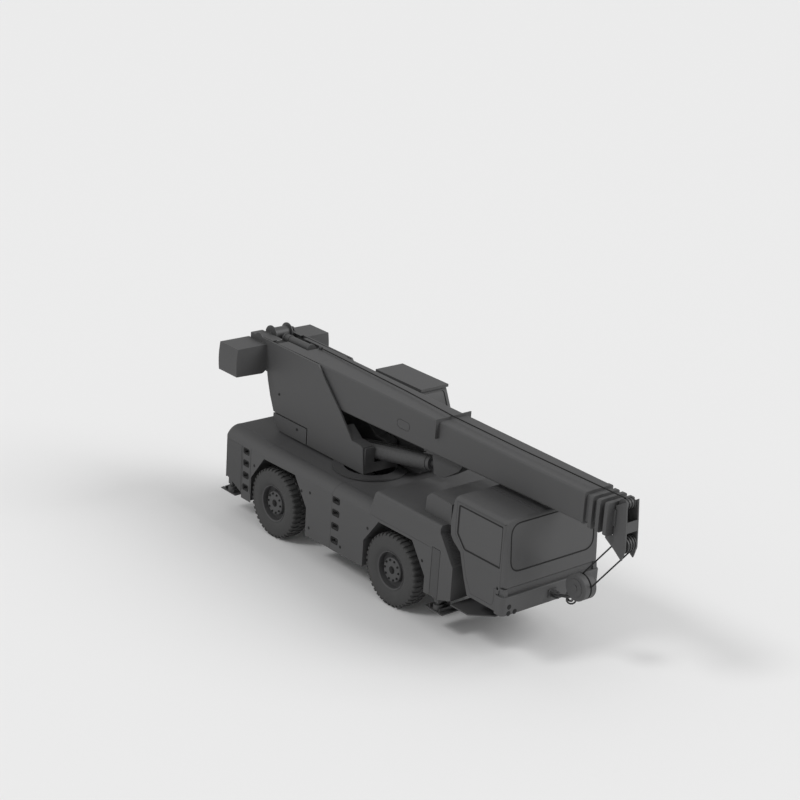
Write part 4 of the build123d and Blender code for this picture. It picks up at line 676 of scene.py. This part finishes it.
# ---------------------------------------------------------------- wheels
@dataclass
class Wheel:
    """A lugged tyre and the fittings on its hub."""

    name: str
    lugs: int = 40
    lug_depth: float = 0.019
    lug_length: float = 0.056
    bead_radius: float = 0.378
    bolt_circle: float = 0.205
    bolts: int = 10
    hub_face: float = 0.15  # the flange's face outwards of the tyre's middle
    nut_across: float = 0.036
    nut_height: float = 0.026
    turns: int = 96  # sections of the carcass round the axle

    def __post_init__(self) -> None:
        """Read the wheel's place from the frame."""
        low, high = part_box(self.name + "_tyre")
        self.middle = (low + high) / 2
        self.radius = (high.z - low.z) / 2
        self.half_width = (high.y - low.y) / 2
        self.outward = 1.0 if self.middle.y > 0 else -1.0

    def section(self) -> np.ndarray:
        """Tyre section as (across, radius) points: straight runs smoothed by repeated corner cutting."""
        half, crown = self.half_width, self.radius - self.lug_depth
        outline = np.array([
            (-0.176, self.bead_radius), (-0.182, self.bead_radius + 0.03),
            (-half + 0.004, 0.47), (-half, 0.56), (-half + 0.006, 0.64),
            (-0.192, crown - 0.022), (-0.13, crown), (0.13, crown), (0.192, crown - 0.022),
            (half - 0.006, 0.64), (half, 0.56), (half - 0.004, 0.47),
            (0.182, self.bead_radius + 0.03), (0.176, self.bead_radius),
        ])
        for _ in range(2):
            after = outline[1:]
            cut = np.stack([0.75 * outline[:-1] + 0.25 * after, 0.25 * outline[:-1] + 0.75 * after], axis=1)
            outline = np.concatenate([outline[:1], cut.reshape(-1, 2), outline[-1:]])
        return outline

    def carcass(self) -> Shape:
        """The section carried round the axle: (x, z) is radius times cosine and sine of the turn."""
        section = self.section()
        turn = np.arange(self.turns) * 2 * math.pi / self.turns
        across = np.broadcast_to(section[:, 0], (self.turns, len(section)))
        points = np.stack(
            [
                self.middle.x + np.cos(turn)[:, None] * section[:, 1],
                self.middle.y + across,
                self.middle.z + np.sin(turn)[:, None] * section[:, 1],
            ],
            axis=2,
        )
        return Shape.grid(points, wrap_u=True, wrap_v=True)

    def lug(self, row: int) -> Shape:
        """One lug of a row, on local z outwards: a bar from the middle to the shoulder."""
        crown, length = self.radius - self.lug_depth, self.lug_length
        top = math.sqrt(self.radius**2 - (length / 2) ** 2)
        outline = np.array([
            (0.012, crown - 0.012), (0.014, top - 0.004), (0.018, top), (0.150, top), (0.178, top - 0.008),
            (0.197, top - 0.022), (0.206, crown - 0.026), (0.200, crown - 0.045), (0.140, crown - 0.030),
        ])
        middle = outline.mean(axis=0)
        rings = []
        for share, grow in ((-0.5, 0.0), (-0.5, 0.975), (-0.46, 1.0), (0.46, 1.0), (0.5, 0.975), (0.5, 0.0)):
            spread = middle + (outline - middle) * grow
            rings.append(np.c_[np.full(len(outline), share * length), row * spread[:, 0], spread[:, 1]])
        return Shape.grid(np.stack(rings), wrap_v=True)

    def tread(self) -> Shape:
        """Both rows of lugs, half a pitch apart, standing round the carcass."""
        rows = []
        for row in (-1, 1):
            turn = (np.arange(self.lugs) + (row + 1) / 4) * 2 * math.pi / self.lugs + math.pi / 2
            outward = np.c_[np.cos(turn), np.zeros(self.lugs), np.sin(turn)]
            along = np.c_[np.sin(turn), np.zeros(self.lugs), -np.cos(turn)]
            origins = np.tile(self.middle, (self.lugs, 1))
            rows.append(self.lug(row).placed(frames(origins, along, outward)))
        return Shape.joined(rows)

    def fittings(self) -> Shape:
        """Wheel nuts in a circle on the hub's flange, each on its washer."""
        turn = np.arange(self.bolts) * 2 * math.pi / self.bolts
        face = self.middle.y + self.outward * self.hub_face
        origins = np.c_[
            self.middle.x + self.bolt_circle * np.cos(turn),
            np.full(self.bolts, face),
            self.middle.z + self.bolt_circle * np.sin(turn),
        ]
        outward = np.tile((0.0, self.outward, 0.0), (self.bolts, 1))
        around = np.tile((1.0, 0.0, 0.0), (self.bolts, 1))
        washer = turned([(0, 0), (0.023, 0), (0.023, 0.004), (0, 0.004)], 16)
        nut = Shape.joined([washer, hex_bolt(self.nut_across, self.nut_height)])
        return nut.placed(frames(origins, around, outward))

    def cap(self) -> Shape:
        """Domed cap over the hub's middle, near-black as painted shade of the hub's central hole."""
        face = (self.middle.x, self.middle.y + self.outward * self.hub_face, self.middle.z)
        dome = [
            (0, 0), (0.078, 0), (0.078, 0.003), (0.055, 0.005), (0.052, 0.022), (0.030, 0.030), (0, 0.032),
        ]
        return turned(dome, 32).placed(frames(face, (1, 0, 0), (0, self.outward, 0)))

    def build(self) -> None:
        """Make the tyre, the nuts and the cap; the cap's near-black is painted shade."""
        body = self.name + "_wheel"
        tyre = [self.carcass(), self.tread()]
        piece(self.name + "_tread_tyre", tyre, Finish.TYRE, body, 40.0, (self.name + "_tyre",))
        piece(self.name + "_wheel_nuts", [self.fittings()], Finish.DARK, body)
        # near-black cap: painted shade of the hub's central hole
        piece(self.name + "_hub_shade_cap", [self.cap()], Finish.DARK, body)


# ---------------------------------------------------------------- cabs and sides
@dataclass
class WindowSealsAndGapShade:
    """Rubber seals over the gaps between the panes and their openings, near-black as painted shade of the
    gaps.
    """

    width: float = 0.030
    proud: float = 0.005
    screen_proud: float = 0.016
    door_half: float = 1.200
    operator_half: float = 1.220
    door: tuple = ((5.661, 2.803), (6.838, 2.798), (6.842, 1.998), (5.876, 1.997), (5.654, 2.244))
    operator_door: tuple = ((1.190, 3.570), (1.190, 2.700), (1.830, 2.700), (1.830, 3.570))
    operator_side: tuple = ((2.000, 3.620), (2.000, 2.700), (2.590, 2.700), (2.520, 3.240), (2.340, 3.620))
    screen_half: tuple = (1.060, 0.464)
    screen_place: tuple = (6.935, 2.385)
    screen_lean: float = math.radians(4.7)
    screen_radius: float = 0.19
    screen_spread: float = 1.3  # how many radii from a corner its curve starts
    side_radius: float = 0.035

    def side_seal(self, corners: tuple, side: float, depth: float) -> Shape:
        """One seal round a side window, its outer edge on the metal."""
        return band(rounded(corners, self.side_radius), self.width, self.proud).placed(flank(side, depth))

    def screen(self) -> Shape:
        """The windscreen's seal, on a plane whose local x is the machine's left and y runs up the screen."""
        half_width, half_height = self.screen_half
        corners = box_outline(-half_width, half_width, -half_height, half_height)
        matrix = np.eye(4)
        sine, cosine = math.sin(self.screen_lean), math.cos(self.screen_lean)
        matrix[:3, :3] = ((0, -sine, cosine), (1, 0, 0), (0, cosine, sine))
        matrix[:3, 3] = (self.screen_place[0] + REAR_AXLE, 0, self.screen_place[1])
        outline = rounded(corners, self.screen_radius * self.screen_spread, 9)
        return band(outline, self.width, self.screen_proud).placed(matrix[None])

    def build(self) -> None:
        """Make the seals of the carrier cab and the operator's cab, near-black as painted shade of the gaps.
        """
        for name, side in (("right", -1.0), ("left", 1.0)):
            seal = self.side_seal(self.door, side, self.door_half)
            # near-black seal bands: painted shade of the window gaps
            piece(f"cab_door_seal_{name}", [seal], Finish.DARK, f"cab_door_{name}")
        piece("windscreen_seal", [self.screen()], Finish.DARK, "carrier")
        door = self.side_seal(self.operator_door, 1.0, self.operator_half)
        piece("operator_door_seal", [door], Finish.DARK, "operator_door")
        side = self.side_seal(self.operator_side, 1.0, self.operator_half)
        piece("operator_window_seal", [side], Finish.DARK, "superstructure")


@dataclass
class SideFittings:
    """Rims round the footholds, knobs along the side, and strips beside the outriggers' covers, their dark
    colour painted shade of openings, dimples and grooves.
    """

    half: float = 1.250
    hole_height: float = 0.115
    hole_margin: float = 0.010
    hole_radius: float = 0.030
    rim: float = 0.030
    proud: float = 0.003
    front: tuple = (2.045, 2.230, (1.610, 1.340, 1.050, 0.745))
    rear: tuple = (-1.000, -0.840, (1.610, 1.340, 1.070, 0.790))
    knobs: tuple = (
        (-0.632, 1.389), (1.002, 1.414), (1.286, 1.469), (1.299, 0.701), (2.335, 0.679), (3.145, 1.395),
        (4.793, 1.352),
    )
    knob_radius: float = 0.032
    knob_height: float = 0.004
    # ahead of the rear axle, foot and top of each strip
    strips: tuple = (
        (5.054, 0.745, 1.735), (5.281, 0.745, 1.735), (-0.765, 0.700, 1.710), (-1.050, 0.700, 1.690),
    )
    strip_width: float = 0.018
    strip_half: float = 0.001  # half the width of the outline that a strip's band follows
    strip_share: float = 0.7  # a strip's height as a share of a rim's

    def footholds(self, side: float) -> list[Shape]:
        """A rounded near-black rim at each foothold of both columns: painted shade round the opening."""
        rims = []
        for x_start, x_end, heights in (self.front, self.rear):
            for height in heights:
                low, high = height - self.hole_height / 2, height + self.hole_height / 2
                margin = self.hole_margin
                outline = rounded(box_outline(x_start - margin, x_end + margin, low, high), self.hole_radius)
                rims.append(band(outline, self.rim, self.proud).placed(flank(side, self.half)))
        return rims

    def groove_shade_strips(self, side: float) -> list[Shape]:
        """Upright dark strips, each a thin closed band: painted shade of upright grooves in the side."""
        made = []
        for x, low, high in self.strips:
            outline = box_outline(x - self.strip_half, x + self.strip_half, low, high)
            strip = band(outline, self.strip_width / 2, self.proud * self.strip_share)
            made.append(strip.placed(flank(side, self.half)))
        return made

    def build(self) -> None:
        """Make both sides' fittings."""
        radius, height = self.knob_radius, self.knob_height
        knob = turned([(0, 0), (radius, 0), (radius, height / 2), (radius - height, height), (0, height)], 24)
        for name, side in (("right", -1.0), ("left", 1.0)):
            # near-black rims: painted shade round the foothold openings
            piece(f"foothold_shade_rims_{name}", self.footholds(side), Finish.DARK, "carrier")
            # dark strips: painted shade of upright grooves
            piece(f"side_groove_shade_{name}", self.groove_shade_strips(side), Finish.TRIM, "carrier")
        # near-black knobs: painted shade of small round dimples in the side
        knobs = spots(list(self.knobs), knob).placed(flank(-1.0, self.half))
        piece("side_knob_shade_right", [knobs], Finish.DARK, "carrier")


@dataclass
class CabTrim:
    """Round covers on the doors' hinges, fillers at the bumper's corners, and the operator's screen."""

    door_half: float = 1.200
    foot_cover: tuple = ((6.780, 1.479), (6.864, 1.479), (6.864, 1.563), (6.780, 1.563))
    cover_height: float = 0.003
    hinge_place: tuple = (6.860, 1.1775)
    hinge_cover: tuple = (1.564, 2.852, 0.0325)  # foot, top and radius
    filler: tuple = ((6.874, 1.440), (7.010, 1.440), (6.985, 1.612), (6.874, 1.612))
    filler_inner: float = 1.100
    filler_gap: float = 0.004
    # the operator's cab from its sill to its roof: ahead of the rear axle, up
    screen: tuple = ((2.668, 2.335), (2.684, 2.700), (2.594, 3.250), (2.418, 3.640))
    screen_middle: float = 0.860
    screen_half: float = 0.290
    screen_depth: float = 0.018
    screen_sheet: float = 0.006

    def operator_screen(self) -> Shape:
        """Bent panes that follow the cab's front, a little behind its face."""
        run = np.array(self.screen)
        ways = (
            (-self.screen_half, 0.0),
            (self.screen_half, 0.0),
            (self.screen_half, -self.screen_sheet),
            (-self.screen_half, -self.screen_sheet),
        )
        ahead = run[:, 0] + REAR_AXLE - self.screen_depth
        rows = [
            np.c_[ahead + back, np.full(len(run), self.screen_middle + across), run[:, 1]]
            for across, back in ways
        ]
        body = np.stack(rows, axis=1)
        ends = [np.repeat(body[k].mean(axis=0)[None], 4, axis=0)[None] for k in (0, -1)]
        return Shape.grid(np.concatenate([ends[0], body, ends[1]]), wrap_v=True)

    def build(self) -> None:
        """Make the trim of both cabs."""
        for name, side in (("right", -1.0), ("left", 1.0)):
            cover = plate(self.foot_cover, self.cover_height).placed(flank(side, self.door_half))
            foot, top, radius = self.hinge_cover
            round_cover = turned([(0, foot), (radius, foot), (radius, top), (0, top)], 40)
            place = (self.hinge_place[0] + REAR_AXLE, side * self.hinge_place[1], 0)
            post = round_cover.placed(frames(place, (1, 0, 0), (0, 0, 1)))
            piece(f"cab_door_edge_{name}", [cover, post], Finish.PAINT, f"cab_door_{name}")
            depth = self.door_half - self.filler_inner - self.filler_gap
            filler = plate(self.filler, depth).placed(flank(side, self.filler_inner))
            piece(f"bumper_filler_{name}", [filler], Finish.PAINT, "carrier")
        piece("operator_screen", [self.operator_screen()], Finish.GLASS, "superstructure")


@dataclass
class LampHoleShade:
    """Lamp lenses over the bumper's round holes, near-black as painted shade of the holes."""

    face: float = 7.040
    radius: float = 0.050
    places: tuple = ((1.074, 1.273), (1.081, 1.143), (0.925, 1.147))

    def build(self) -> None:
        """Make both sides' lenses as domes that face ahead, near-black as painted shade of the holes."""
        radius = self.radius
        dome = [(0, -0.02), (radius, -0.02), (radius, 0.003), (radius * 0.85, 0.006), (0, 0.009)]
        ahead = [(self.face + REAR_AXLE, side * y, z) for side in (-1, 1) for y, z in self.places]
        lenses = turned(dome, 24).placed(frames(ahead, (0, 1, 0), (1, 0, 0)))
        # near-black lens discs: painted shade of the lamp holes
        piece("bumper_lamp_hole_shade", [lenses], Finish.DARK, "carrier")


# ---------------------------------------------------------------- boom, hoist and luffing gear
@dataclass
class Hoist:
    """The hoist rope along the boom's top and the two falls to the hook block."""

    radius: float = 0.013
    # ahead of the rear axle, left, up
    path: tuple = (
        (-0.400, 0.180, 3.825), (1.000, 0.125, 3.822), (2.500, 0.060, 3.818), (4.100, -0.060, 3.812),
        (6.000, -0.090, 3.802), (7.600, -0.070, 3.788), (8.620, -0.045, 3.772),
    )
    section_start: float = 1.9  # how far ahead of a section's foot its length of rope starts
    thinning: float = 0.0012  # how much less the radius is on each section
    run_steps: int = 8
    guide: tuple = ((-0.440, 0.180, 3.825), (-0.360, 0.178, 3.825))
    guide_radius: float = 0.032
    guide_foot: tuple = (-0.400, 0.180, 3.789)
    guide_block: tuple = (0.05, 0.05, 0.036)
    fall_radius: float = 0.015
    falls: tuple = (
        ((7.8675, 0.0, 1.6168), (8.8275, 0.0, 2.8268)), ((7.6325, 0.0, 1.8032), (8.5925, 0.0, 3.0132)),
    )

    def along(self) -> np.ndarray:
        """The rope's points in the machine's own places, with equal steps on each run."""
        points = np.array(self.path) + (REAR_AXLE, 0, 0)
        runs = len(points) - 1
        steps = np.linspace(0, runs, self.run_steps * runs + 1)
        return np.stack([np.interp(steps, np.arange(len(points)), points[:, k]) for k in range(3)], axis=1)

    def build(self) -> None:
        """Make the rope: a length on each section, a little thinner each time so that it lies inside."""
        points = self.along()
        piece("hoist_rope_base", [tube(points, self.radius)], Finish.DARK, "boom_base")
        for section in range(1, 5):
            low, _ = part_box(f"boom_section_{section}")
            length = points[points[:, 0] > low.x + self.section_start]
            inner = self.radius - self.thinning * section
            carrier = f"boom_section_{section}"
            piece(f"hoist_rope_section_{section}", [tube(length, inner)], Finish.DARK, carrier)
        falls = [
            tube(np.linspace(low, high, 9) + (REAR_AXLE, 0, 0), self.fall_radius) for low, high in self.falls
        ]
        piece("fall_ropes", falls, Finish.DARK, "hook", replaces=("hook_ropes",))
        guide = tube(np.array(self.guide) + (REAR_AXLE, 0, 0), self.guide_radius, 20)
        below = frames(np.array(self.guide_foot) + (REAR_AXLE, 0, 0), (1, 0, 0), (0, 0, 1))
        foot = slab(self.guide_block, 0.004).placed(below)
        piece("rope_guide", [guide, foot], Finish.TRIM, "boom_base")


@dataclass
class LuffSleeve:
    """A ribbed sleeve over the luffing cylinder's barrel, with two hoses along its top."""

    foot: tuple = (0.620, 2.090)
    eye: tuple = (3.850, 2.700)
    start: float = 0.360
    end: float = 2.880
    radius: float = 0.168
    ribs: int = 18
    rib_depth: float = 0.004
    # from a rib's start: the valley's start; from its end: the valley's end, the crest's start and end
    valley: tuple = (0.012, 0.022)
    crest: tuple = (0.014, 0.004)
    hose_ways: tuple = (-0.05, 0.05)
    hose_radius: float = 0.013
    hose_start: float = 0.5
    hose_length: float = 2.2
    hose_lift: float = 0.012
    hose_sway: float = 0.004
    hose_waves: float = 20.0  # radians of sway along a hose

    def build(self) -> None:
        """Make the sleeve and its hoses on the barrel."""
        run = np.array((self.eye[0] - self.foot[0], 0, self.eye[1] - self.foot[1]))
        run /= np.linalg.norm(run)
        origin = np.array((self.foot[0] + REAR_AXLE, 0, self.foot[1]))
        profile = [(0.0, self.start), (self.radius, self.start)]
        pitch = (self.end - self.start) / self.ribs
        for rib in range(self.ribs):
            place = self.start + rib * pitch
            profile += [
                (self.radius - self.rib_depth, place + self.valley[0]),
                (self.radius - self.rib_depth, place + pitch - self.valley[1]),
                (self.radius, place + pitch - self.crest[0]),
                (self.radius, place + pitch - self.crest[1]),
            ]
        profile += [(self.radius, self.end), (0.0, self.end)]
        sleeve = turned(profile, 48).placed(frames(origin, (0, 1, 0), run))
        piece("luff_sleeve", [sleeve], Finish.PAINT, "luff_barrel", 25.0)
        up = np.array((-run[2], 0, run[0]))
        share = np.linspace(0, 1, 25)[:, None]
        hoses = []
        for across in self.hose_ways:
            start = origin + run * self.hose_start + up * (self.radius + self.hose_lift) + (0, across, 0)
            sway = up * self.hose_sway * np.sin(share * self.hose_waves)
            hoses.append(tube(start + run * self.hose_length * share + sway, self.hose_radius))
        piece("luff_hoses", hoses, Finish.DARK, "luff_barrel")


@dataclass
class FrameBolts:
    """Bolt heads on the slewing frame's side plates."""

    plate_half: float = 0.450
    places: tuple = ((-0.930, 2.740), (-0.267, 2.166))
    across: float = 0.050
    height: float = 0.014

    def build(self) -> None:
        """Make the bolts on both sides."""
        bolt = hex_bolt(self.across, self.height)
        for name, side in (("right", -1.0), ("left", 1.0)):
            bolts = spots(list(self.places), bolt).placed(flank(side, self.plate_half))
            piece(f"frame_bolts_{name}", [bolts], Finish.DARK, "superstructure")


@dataclass
class TowLink:
    """The ring and bar that hold the hook to the tow coupling on the road."""

    jaw: tuple = (7.170, 0.0, 1.290)
    hook: tuple = (7.500, 0.0, 1.390)
    bar: float = 0.016
    ring_middle: tuple = (7.547, 0.0, 1.352)
    ring_radius: float = 0.086
    ring_ahead: tuple = (0.66, 0.75, 0.0)  # the level way in the ring's plane
    half_width: float = 0.045

    def ring_shape(self) -> Shape:
        """The ring at the link's end: a bar's circle carried round a circle that stands across the link."""
        turn = np.linspace(0, 2 * math.pi, 41)[:-1]
        ahead = np.array(self.ring_ahead)
        out = np.cos(turn)[:, None] * ahead + np.sin(turn)[:, None] * np.array((0, 0, 1.0))
        axis = np.cross(ahead, (0, 0, 1.0))
        middle = np.array(self.ring_middle) + (REAR_AXLE, 0, 0)
        return closed_tube(middle + self.ring_radius * out, out, axis, self.bar)

    def build(self) -> None:
        """Make a long closed link from the jaw's pin to the ring."""
        start, end = (np.array(place) + (REAR_AXLE, 0, 0) for place in (self.jaw, self.hook))
        run = end - start
        length = np.linalg.norm(run)
        run /= length
        turn = np.linspace(0, 2 * math.pi, 49)[:-1]
        reach = np.where(np.cos(turn) > 0, length, 0.0) + np.cos(turn) * self.half_width
        path = start + reach[:, None] * run + np.sin(turn)[:, None] * np.array((0, self.half_width, 0))
        step = np.roll(path, -1, axis=0) - np.roll(path, 1, axis=0)
        step /= np.linalg.norm(step, axis=1, keepdims=True)
        normal = np.cross(run, (0, 1, 0))
        link = closed_tube(path, np.cross(step, normal), normal, self.bar)
        piece("tow_link", [link, self.ring_shape()], Finish.TRIM, "carrier")


# ---------------------------------------------------------------- the whole crane
def dress_frame() -> None:
    """Give every node of the frame the finish of its material slot."""
    slots = {part["node"]: part["material_slot"] for part in frame["record"]["subparts"]}
    for name, node in frame["nodes"].items():
        node.data.materials.clear()
        node.data.materials.append(WARDROBE[SLOT_FINISH[slots[name]]])
        LOG.info("%s wears %s", name, slots[name])


def main() -> None:
    """Build the studio, the finishes and the crane's pieces in order."""
    logging.basicConfig(level=logging.INFO, format="%(message)s")
    Studio().build()
    dress_frame()
    for name in ("front_right", "front_left", "rear_right", "rear_left"):
        Wheel(name).build()
    fittings = (WindowSealsAndGapShade, SideFittings, CabTrim, LampHoleShade, Hoist, LuffSleeve, FrameBolts, TowLink)
    for fitting in fittings:
        fitting().build()


if __name__ == "__main__":
    main()
